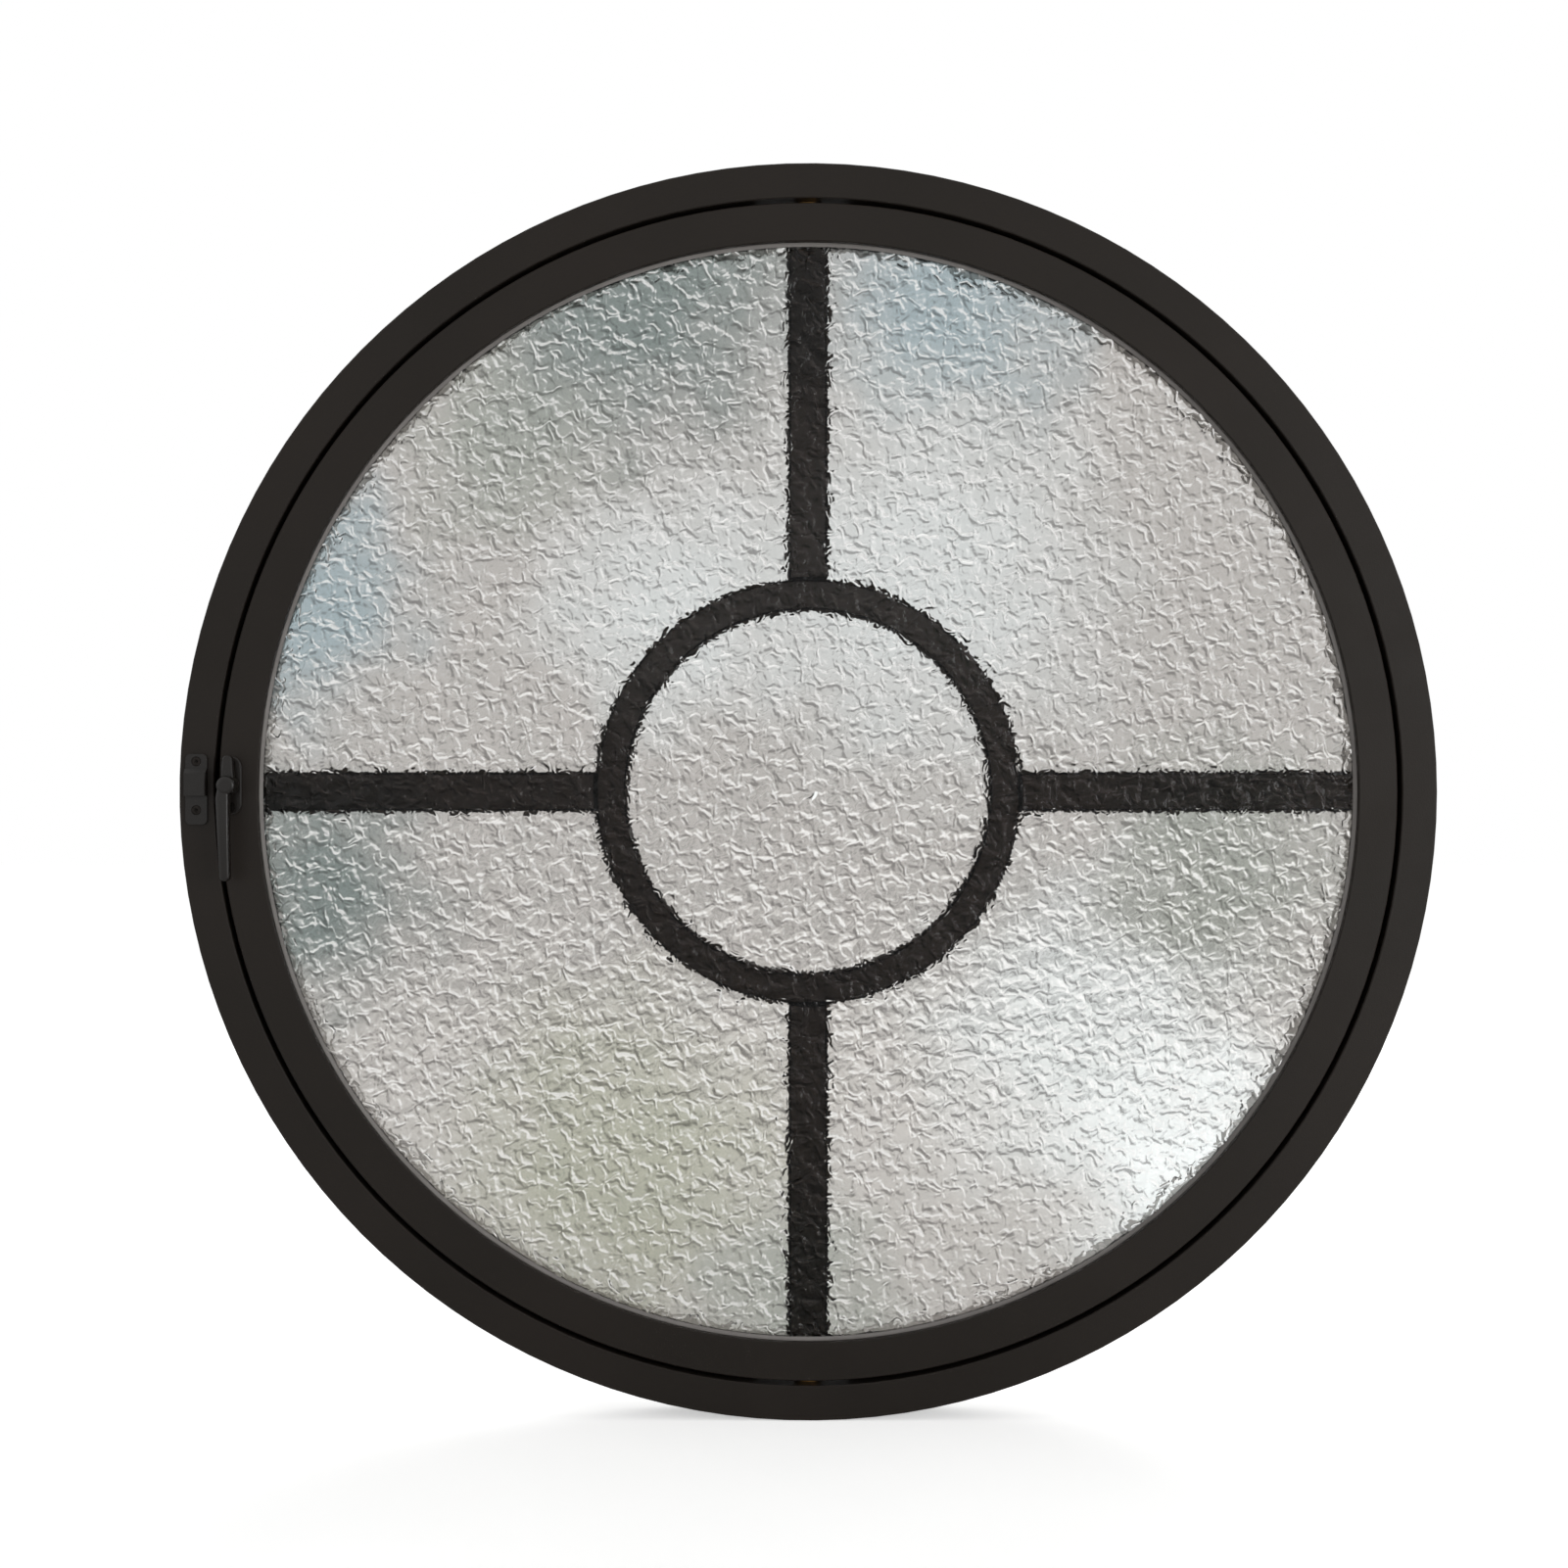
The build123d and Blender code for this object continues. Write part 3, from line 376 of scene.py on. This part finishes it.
def paint_bar_refraction(tree, ruler, slopes, directions):
    """Painted refraction of the dark bars: where a steep wrinkle beside a bar bends the eye onto the bar, 1
    there, 0 elsewhere.
    """
    place = add(tree, "ShaderNodeSeparateXYZ", {"Vector": ruler})
    bent = []
    for axis, share in (("X", 0), ("Z", 1)):
        value = place.outputs[axis]
        for slope, direction in zip(slopes, directions):
            value = add(tree, "ShaderNodeMath", {0: slope, 1: REACH_MM * direction[share], 2: value},
                        operation="MULTIPLY_ADD").outputs[0]
        bent.append(value)
    straight = distance_to_grille(tree, place.outputs["X"], place.outputs["Z"])
    onto = add(tree, "ShaderNodeMapRange", {"Value": distance_to_grille(tree, *bent), "From Min": 0.5,
                                            "From Max": -0.5})
    beside = add(tree, "ShaderNodeMapRange", {"Value": straight, "From Min": -2.2, "From Max": -1.4})
    return add(tree, "ShaderNodeMath", {0: onto.outputs["Result"], 1: beside.outputs["Result"]},
               operation="MULTIPLY").outputs[0]


WRINKLE_BUMP_MM = 3.3  # deeper than the real 1 mm, so that it still shows at this size


def obscure_glass():
    """Rolled obscure glass, IOR 1.52, fire-polished, so nearly smooth between the wrinkles; its colour
    carries a painted highlight on each rim, painted shade in the hollows and a painted view.
    """
    tree, ruler, shader, material = start_finish("rolled_obscure_glass")
    here = height_at(tree, ruler, (0, 0, 0))
    lit_side = height_at(tree, ruler, (0.8, 0, 1.4))
    shade_side = height_at(tree, ruler, (1.4, 0, -0.8))
    slope = add(tree, "ShaderNodeMath", {0: here, 1: lit_side}, operation="SUBTRACT")
    cross_slope = add(tree, "ShaderNodeMath", {0: here, 1: shade_side}, operation="SUBTRACT")
    # Painted highlight and painted shade from the slope of the wrinkles: white on the side of a rim that
    # faces the lit direction, grey in the hollow behind it.
    white = add(tree, "ShaderNodeMapRange", {"Value": slope.outputs[0], "From Min": 0.01, "From Max": 0.18},
                interpolation_type="SMOOTHSTEP")
    grey = add(tree, "ShaderNodeMapRange", {"Value": slope.outputs[0], "From Min": -0.02, "From Max": -0.2},
               interpolation_type="SMOOTHSTEP")
    patches = paint_view_patches(tree, ruler)
    # Painted shade colour for the hollows: the painted view multiplied by grey.
    dark = add(tree, "ShaderNodeMix", {0: 1.0, 6: patches, 7: linear("#bdbcbc")}, data_type="RGBA",
               blend_type="MULTIPLY")
    hollow = add(tree, "ShaderNodeMix", {0: grey.outputs["Result"], 6: patches, 7: dark.outputs[2]},
                 data_type="RGBA")
    # Painted highlight: up to 64 % white on the lit side of each rim.
    share = add(tree, "ShaderNodeMath", {0: white.outputs["Result"], 1: 0.64}, operation="MULTIPLY")
    painted_rim_highlights = add(tree, "ShaderNodeMix", {0: share.outputs[0], 6: hollow.outputs[2], 7: linear("#fcf9f9")},
                 data_type="RGBA")
    # Painted refraction: the dark bars, seen bent round their edges by the wrinkles, are painted into the
    # glass colour.
    painted_bar_refraction = paint_bar_refraction(tree, ruler, (slope.outputs[0], cross_slope.outputs[0]), ((0.5, 0.87), (0.87, -0.5)))
    painted_view_colour = add(tree, "ShaderNodeMix", {0: painted_bar_refraction, 6: painted_rim_highlights.outputs[2], 7: linear("#1c1814")},
               data_type="RGBA")
    # A ray is tinted by the root of the colour at each face. Only the room face is tinted, so square it.
    squared = add(tree, "ShaderNodeGamma", {"Color": painted_view_colour.outputs[2], "Gamma": 2.0})
    polish = add(tree, "ShaderNodeMapRange",
                 {"Value": blotches(tree, ruler, 30), "To Min": 0.02, "To Max": 0.07})
    bump = add(tree, "ShaderNodeBump", {"Height": here, "Distance": WRINKLE_BUMP_MM / 1000})
    wire(tree, shader, Base_Color=squared.outputs[0], Roughness=polish.outputs[0],
         Normal=bump.outputs["Normal"])
    shader.inputs["IOR"].default_value = 1.52
    shader.inputs["Transmission Weight"].default_value = 1.0
    shader.inputs["Specular Tint"].default_value = linear("#959595")
    return material


rolled_glass = obscure_glass()
print("obscure glass with", len(PAINTED_VIEW_PATCHES), "soft patches")

# %% [markdown]
# ## Float glass
# The outer pane is plain float glass: dead flat, with a faint green cast that
# shows at its edge. It would be invisible if it were perfect, so a trace of
# dried rain varies its roughness in soft blots a few centimetres wide.
# The back of the obscure pane is just as flat, and takes the same finish.

# %% Float glass
def float_glass():
    """Clear soda-lime glass, IOR 1.52, smooth, with the faintest green."""
    tree, ruler, shader, material = start_finish("clear_float_glass")
    rain = blotches(tree, ruler, 35, detail=4)
    tone = add(tree, "ShaderNodeMix", {0: rain, 6: linear("#f9fbfa"), 7: linear("#fdfefd")}, data_type="RGBA")
    dried = add(tree, "ShaderNodeMath", {0: rain, 1: 0.03}, operation="MULTIPLY")
    wire(tree, shader, Base_Color=tone.outputs[2], Roughness=dried.outputs[0])
    shader.inputs["IOR"].default_value = 1.52
    shader.inputs["Transmission Weight"].default_value = 1.0
    shader.inputs["Specular Tint"].default_value = linear("#b0b0b0")
    return material


clear_float = float_glass()
print("flat glass:", clear_float.name)

# %% [markdown]
# ## The wrinkled pane itself
# The CAD pane is a flat disc. A bump alone would leave its outline and its
# reflections flat, so the disc is built again as a fine mesh whose room side is
# really pushed in and out by Geometry Nodes, with the same height pattern.
# The grid is concentric rings, so the rim stays a true circle.

# %% Build the wrinkled pane
RINGS = 172
LOBES = 480
WRINKLE_MM = 0.9


def pane_mesh(name, low, high):
    """A closed disc between two corners, its room face divided finely."""
    radius = (high.x - low.x) / 2 - 0.0002
    mesh = bmesh.new()
    face_y, back_y = low.y + WRINKLE_MM / 1000, high.y - 0.0001
    centre = mesh.verts.new((0, face_y, 0))
    rows = []
    for ring in range(1, RINGS + 1):
        lobes = max(12, int(LOBES * 2 ** -math.floor(math.log2(max(1.0, RINGS / ring)))))
        r = radius * ring / RINGS
        rows.append([mesh.verts.new((r * math.cos(2 * math.pi * n / lobes), face_y,
                                     r * math.sin(2 * math.pi * n / lobes))) for n in range(lobes)])
    for n in range(len(rows[0])):
        mesh.faces.new((centre, rows[0][n], rows[0][(n + 1) % len(rows[0])]))
    for inner, outer in zip(rows, rows[1:]):
        step = len(outer) // len(inner)
        for n in range(len(inner)):
            fan = [outer[(n * step + k) % len(outer)] for k in range(step + 1)]
            mesh.faces.new([inner[n], *fan, inner[(n + 1) % len(inner)]])
    rim = rows[-1]
    back = [mesh.verts.new((v.co.x, back_y, v.co.z)) for v in rim]
    for n in range(len(rim)):
        mesh.faces.new((rim[n], back[n], back[(n + 1) % len(rim)], rim[(n + 1) % len(rim)]))
    mesh.faces.new(list(reversed(back)))
    bmesh.ops.triangulate(mesh, faces=[f for f in mesh.faces if len(f.verts) > 4])
    bmesh.ops.recalc_face_normals(mesh, faces=mesh.faces)
    data = bpy.data.meshes.new(name)
    mesh.to_mesh(data)
    mesh.free()
    return data


low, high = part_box("textured_pane")
wrinkled = bpy.data.objects.new("wrinkled_pane", pane_mesh("wrinkled_pane", low, high))
bpy.context.collection.objects.link(wrinkled)
for face in wrinkled.data.polygons:
    face.use_smooth = face.normal.y < -0.5
wrinkled.data.materials.append(rolled_glass)
wrinkled.data.materials.append(clear_float)
for face in wrinkled.data.polygons:
    face.material_index = 0 if face.use_smooth else 1
print("pane faces:", len(wrinkled.data.polygons))

# %% [markdown]
# ## Rolling the pattern into the pane
# Moving tens of thousands of points by hand-written code is slow. A Geometry Nodes
# modifier moves them all at once, and it reads the softer version of the height
# pattern, so the glints of the bump sit on the real hills of the mesh.

# %% Push the room face in and out
def wrinkle_modifier(piece):
    """Geometry Nodes that move the room face along Y by the wrinkle height."""
    tree = bpy.data.node_groups.new("push_wrinkles", "GeometryNodeTree")
    tree.interface.new_socket("Geometry", in_out="INPUT", socket_type="NodeSocketGeometry")
    tree.interface.new_socket("Geometry", in_out="OUTPUT", socket_type="NodeSocketGeometry")
    start = add(tree, "NodeGroupInput")
    place = add(tree, "GeometryNodeInputPosition").outputs["Position"]
    ruler = add(tree, "ShaderNodeVectorMath", {0: place, 1: (1000, 1000, 1000)}, operation="MULTIPLY")
    reader = add(tree, "GeometryNodeGroup", node_tree=mesh_height)
    tree.links.new(ruler.outputs[0], reader.inputs["Position"])
    split = add(tree, "ShaderNodeSeparateXYZ", {"Vector": place})
    front = add(tree, "ShaderNodeMath", {0: split.outputs["Y"], 1: (low.y + high.y) / 2},
                operation="LESS_THAN")
    lift = add(tree, "ShaderNodeMath", {0: reader.outputs["Height"], 1: -WRINKLE_MM / 1000},
               operation="MULTIPLY")
    offset = add(tree, "ShaderNodeCombineXYZ", {"Y": lift.outputs[0]})
    moved = add(tree, "GeometryNodeSetPosition", {"Geometry": start.outputs[0], "Offset": offset.outputs[0],
                                                  "Selection": front.outputs[0]})
    add(tree, "NodeGroupOutput", {0: moved.outputs[0]})
    modifier = piece.modifiers.new("wrinkles", "NODES")
    modifier.node_group = tree


wrinkle_modifier(wrinkled)
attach(wrinkled, "sash")
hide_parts("textured_pane")
print("wrinkles up to", WRINKLE_MM, "mm proud of the hollow")

# %% [markdown]
# ## Give every CAD node its finish
# The record names each solid, so a finish is given by the first words of a name.
# Assigning to the material slots leaves the solids where CAD put them.

# %% Assign the finishes
FINISHES = {
    "frame_ring": ring_coat, "sash_ring": ring_coat, "glazing_bead": ring_coat,
    "frame_weather_bar": bar_coat, "sash_weather_bar": bar_coat,
    "frame_weather_seal": epdm, "sash_weather_seal": epdm, "gasket": epdm,
    "grille_ring": grille_coat, "grille_bar": grille_coat, "grille_keys": nylon, "grille_clips": nylon,
    "frame_block_screws": zinc_steel, "sash_block_screws": zinc_steel,
    "frame_block": zinc_steel, "sash_block": zinc_steel, "pivot_pin": zinc_steel,
    "pivot_bush": bronze, "thrust_washer": bronze,
    "frame_bar_screws": blackened_screw, "sash_bar_screws": blackened_screw,
    "bead_screws": blackened_screw, "keeper_screws": blackened_screw, "handle_base_screws": blackened_screw,
    "keeper": handle_coat, "handle_base": handle_coat, "handle_lever": handle_coat,
    "handle_spindle": zinc_steel, "handle_clip": zinc_steel, "handle_washer": nylon,
    "setting_blocks": nylon, "spacer": anodised, "edge_sealant": black_sealant,
    "textured_pane": rolled_glass, "clear_pane": clear_float,
}
for name, node in nodes.items():
    key = max((k for k in FINISHES if name.startswith(k)), key=len)
    node.data.materials.clear()
    node.data.materials.append(FINISHES[key])
print("finishes given to", len(nodes), "nodes")

# %% [markdown]
# ## Screws with a socket
# CAD draws a countersunk screw as a plain cone, and the eye misses the recess
# that a key goes into. Each screw is found in the CAD mesh as one loose island:
# its long direction is its axis, and its wider end is the head. A new screw with
# a hexagon socket, a chamfered head and a thin thread is turned to that place.

# %% Find the screws of a node
import numpy as np


def islands(node):
    """The loose parts of a CAD node, each as an array of its points in metres."""
    mesh = bmesh.new()
    mesh.from_mesh(node.data)
    bmesh.ops.remove_doubles(mesh, verts=mesh.verts, dist=1e-6)
    left, found = set(mesh.verts), []
    while left:
        stack, island = [left.pop()], []
        while stack:
            vert = stack.pop()
            island.append(tuple(vert.co))
            for edge in vert.link_edges:
                other = edge.other_vert(vert)
                if other in left:
                    left.remove(other)
                    stack.append(other)
        found.append(np.array(island))
    mesh.free()
    return sorted(found, key=lambda points: tuple(points.mean(0).round(5)))


def axis_and_head(points):
    """Centre of the head's face, direction out of the head, head radius and length."""
    middle = points.mean(0)
    axis = np.linalg.svd(points - middle)[2][0]
    along = (points - middle) @ axis
    across = np.linalg.norm(points - middle - np.outer(along, axis), axis=1)
    if across[along > along.mean()].max() < across[along < along.mean()].max():
        axis, along = -axis, -along
    face = points[along > along.max() - 5e-5]
    return Vector(face.mean(0)), Vector(axis), across.max(), along.max() - along.min()


print("keeper screws found:", len(islands(nodes["keeper_screws"])))

# %% Turn a screw with a hexagon socket
SIDES = 24


def hexagon(angle, flat):
    """Radius of a hexagon of that half width across its flats, at an angle."""
    turn = math.pi / 3
    return flat / math.cos((angle % turn) - turn / 2)


def add_screw(mesh, head, axis, radius, length):
    """Add one socket screw to a bmesh. Sizes follow the head's radius."""
    thread, depth = radius * 0.52, radius * 0.58
    frame_of_screw = Matrix.Translation(head) @ axis.to_track_quat("Z", "Y").to_matrix().to_4x4()
    rows = [(radius * 0.34, -radius * 0.36, True), (radius * 0.34, 0, True), (radius * 0.93, 0, False),
            (radius, -radius * 0.07, False), (thread, -depth, False), (thread, -length * 0.96, False),
            (thread * 0.8, -length, False)]
    rings = []
    for size, height, six_sided in rows:
        angles = [2 * math.pi * n / SIDES for n in range(SIDES)]
        sizes = [hexagon(a, size) if six_sided else size for a in angles]
        rings.append([mesh.verts.new(frame_of_screw @ Vector((s * math.cos(a), s * math.sin(a), height)))
                      for s, a in zip(sizes, angles)])
    for low_ring, high_ring in zip(rings, rings[1:]):
        for n in range(SIDES):
            m = (n + 1) % SIDES
            mesh.faces.new((low_ring[n], low_ring[m], high_ring[m], high_ring[n]))
    for ring, height in ((rings[0], -radius * 0.5), (rings[-1], -length)):
        tip = mesh.verts.new(frame_of_screw @ Vector((0, 0, height)))
        for n in range(SIDES):
            mesh.faces.new((tip, ring[n], ring[(n + 1) % SIDES]))


def socket_screws(node_name, finish):
    """Replace all screws of one CAD node."""
    mesh = bmesh.new()
    found = islands(nodes[node_name])
    for points in found:
        add_screw(mesh, *axis_and_head(points))
    bmesh.ops.recalc_face_normals(mesh, faces=mesh.faces)
    data = bpy.data.meshes.new(node_name + "_socket")
    mesh.to_mesh(data)
    mesh.free()
    data.materials.append(finish)
    piece = bpy.data.objects.new(node_name + "_socket", data)
    bpy.context.collection.objects.link(piece)
    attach(piece, nodes[node_name]["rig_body"])
    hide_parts(node_name)
    print(node_name, "->", len(found), "socket screws")
    return piece


for screw_node in ("frame_bar_screws", "sash_bar_screws", "bead_screws", "keeper_screws",
                   "handle_base_screws"):
    socket_screws(screw_node, blackened_screw)
for screw_node in ("frame_block_screws", "sash_block_screws"):
    socket_screws(screw_node, zinc_steel)

# %% [markdown]
# ## The fillet of sealant round the glass
# Between the sash and the glass the photograph has a thin warm-grey line. Here it
# is a fillet of sealant that a glazier tools with a wet finger, hollow in section
# and a few millimetres wide, and its pale colour is partly painted light: it also
# stands in for light caught on the inner edge of the sash. A profile turned about
# the Y axis gives it, and its bump is the faint chatter that the finger leaves.

# %% Tooled sealant fillet
def turned_ring(name, profile_mm, steps=360):
    """Turn a closed profile of (radius, depth) in mm about the window's Y axis."""
    mesh = bmesh.new()
    rows = []
    for n in range(steps):
        a = 2 * math.pi * n / steps
        rows.append([mesh.verts.new((r * math.cos(a) / 1000, y / 1000, r * math.sin(a) / 1000))
                     for r, y in profile_mm])
    for n, row in enumerate(rows):
        after = rows[(n + 1) % steps]
        for k in range(len(row)):
            m = (k + 1) % len(row)
            mesh.faces.new((row[k], row[m], after[m], after[k]))
    bmesh.ops.recalc_face_normals(mesh, faces=mesh.faces)
    data = bpy.data.meshes.new(name)
    mesh.to_mesh(data)
    mesh.free()
    for face in data.polygons:
        face.use_smooth = True
    piece = bpy.data.objects.new(name, data)
    bpy.context.collection.objects.link(piece)
    return piece


LIGHT_R, FILLET_WIDE, FILLET_DEEP, GLASS_Y = 438.05, 2.6, 2.6, -15.4
hollow = [(LIGHT_R - FILLET_WIDE * (1 - math.sin(math.radians(a))),
           GLASS_Y - 0.5 - FILLET_DEEP * (1 - math.cos(math.radians(a)))) for a in range(0, 91, 15)]
fillet = turned_ring("sealant_fillet", [(LIGHT_R, GLASS_Y), (LIGHT_R - FILLET_WIDE, GLASS_Y), *hollow])
# Pale warm grey: the sealant's colour, and also a painted highlight of the sash's inner edge.
sealant_and_lit_edge = moulded("tooled_silicone_fillet_and_lit_edge", "#726e6b", "#827e7b", 0.5, 2.5, 0.12, 1.41)
fillet.data.materials.append(sealant_and_lit_edge)
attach(fillet, "sash")
print("fillet", FILLET_WIDE, "mm wide inside radius", LIGHT_R, "mm")

# %% [markdown]
# ## A white backdrop that doesn't glare
# The window is shown on white, like a catalogue picture. A white world would also
# flood the rings with light, so Light Path splits the two jobs: the world is white
# where the camera, a reflection or a refraction looks, and plain grey as a light.

# %% World
world = bpy.data.worlds.new("studio_world")
bpy.context.scene.world = world
world.use_nodes = True
world_tree = world.node_tree
world_tree.nodes.clear()
path = add(world_tree, "ShaderNodeLightPath")
seen = add(world_tree, "ShaderNodeMath", {0: path.outputs["Is Camera Ray"], 1: path.outputs["Is Glossy Ray"]},
           operation="MAXIMUM")
seen = add(world_tree, "ShaderNodeMath", {0: seen.outputs[0], 1: path.outputs["Is Transmission Ray"]},
           operation="MAXIMUM")
level = add(world_tree, "ShaderNodeMapRange", {"Value": seen.outputs[0], "To Min": 0.55, "To Max": 1.0})
sky = add(world_tree, "ShaderNodeBackground", {"Color": (1, 1, 1, 1), "Strength": level.outputs["Result"]})
add(world_tree, "ShaderNodeOutputWorld", {"Surface": sky.outputs[0]})
print("world light 0.55, seen as white")

# %% [markdown]
# ## A pale floor under the window
# A floor gives the window weight, because its shadow falls there. Painted pale
# vinyl is a slightly uneven matt white. It glows a little for the camera and
# through the glass, so it meets the white backdrop without a line.

# %% Floor
FLOOR_Z = cad_box[0].z
floor_mesh = bmesh.new()
bmesh.ops.create_grid(floor_mesh, x_segments=1, y_segments=1, size=12,
                      matrix=Matrix.Translation((0, 0, FLOOR_Z)))
floor_data = bpy.data.meshes.new("studio_floor")
floor_mesh.to_mesh(floor_data)
floor_mesh.free()
floor = bpy.data.objects.new("studio_floor", floor_data)
bpy.context.collection.objects.link(floor)
print("floor at", round(FLOOR_Z, 4), "m")

# %% Floor finish
tree, ruler, shader, floor_vinyl = start_finish("pale_floor_vinyl")
cloud = add(tree, "ShaderNodeMix",
            {0: blotches(tree, ruler, 300), 6: linear("#f4f4f3"), 7: linear("#fafaf9")}, data_type="RGBA")
path = add(tree, "ShaderNodeLightPath")
through = add(tree, "ShaderNodeMath", {0: path.outputs["Is Transmission Ray"], 1: 0.28}, operation="MULTIPLY")
glow = add(tree, "ShaderNodeMath", {0: path.outputs["Is Camera Ray"], 1: 0.50, 2: through.outputs[0]},
           operation="MULTIPLY_ADD")
tree.links.new(cloud.outputs[2], shader.inputs["Base Color"])
tree.links.new(glow.outputs[0], shader.inputs["Emission Strength"])
shader.inputs["Emission Color"].default_value = (1, 1, 1, 1)
shader.inputs["Roughness"].default_value = 0.9
shader.inputs["Specular IOR Level"].default_value = 0.1
floor_data.materials.append(floor_vinyl)
print("floor finish:", floor_vinyl.name)

# %% [markdown]
# ## Three soft lamps
# Small lamps would put hard glints on the satin rings. Large square ones give the
# soft wide sheen of powder coat. The right one is the strongest, because the rings
# are a shade lighter on that side, and one behind lights the glass from outside.

# %% Lamps
def soft_lamp(name, place, target, size, watts):
    """A large square area light that points at a spot."""
    data = bpy.data.lights.new(name, "AREA")
    data.size = size
    data.energy = watts
    lamp = bpy.data.objects.new(name, data)
    bpy.context.collection.objects.link(lamp)
    lamp.location = place
    lamp.rotation_euler = (Vector(target) - Vector(place)).to_track_quat("-Z", "Y").to_euler()
    return lamp


soft_lamp("lamp_right", (2.2, -2.2, 0.2), (0, 0, 0), 1.6, 33)
soft_lamp("lamp_left", (-2.2, -2.2, -0.1), (0, 0, 0), 1.6, 5)
back = soft_lamp("lamp_back", (0.6, 2.6, 1.8), (0, 0, 0), 2.0, 40)
back.visible_camera = back.visible_transmission = False
print("three soft lamps")

# %% [markdown]
# ## Camera
# The window is seen square on from the room, so the camera looks along +Y. Its
# distance and lens are set together: the rings' reveals look as deep as they
# should from 1.75 m, and the lens makes 1.246 m fill the frame there.
# The window sits a little right of and below the middle, so the camera moves.

# %% Camera
VIEW_WIDTH = 1.2463
DISTANCE = 1.75
camera_data = bpy.data.cameras.new("camera")
camera_data.sensor_width = 36
camera_data.lens = 36 * DISTANCE / VIEW_WIDTH
camera_data.clip_start, camera_data.clip_end = 0.05, 60
camera = bpy.data.objects.new("camera", camera_data)
bpy.context.collection.objects.link(camera)
camera.location = (-0.0193, -0.025 - DISTANCE, 0.0062)
camera.rotation_euler = (math.radians(90), 0, 0)
bpy.context.scene.camera = camera
bpy.context.scene.view_settings.view_transform = "Standard"
print("lens", round(camera_data.lens, 2), "mm at", DISTANCE, "m")
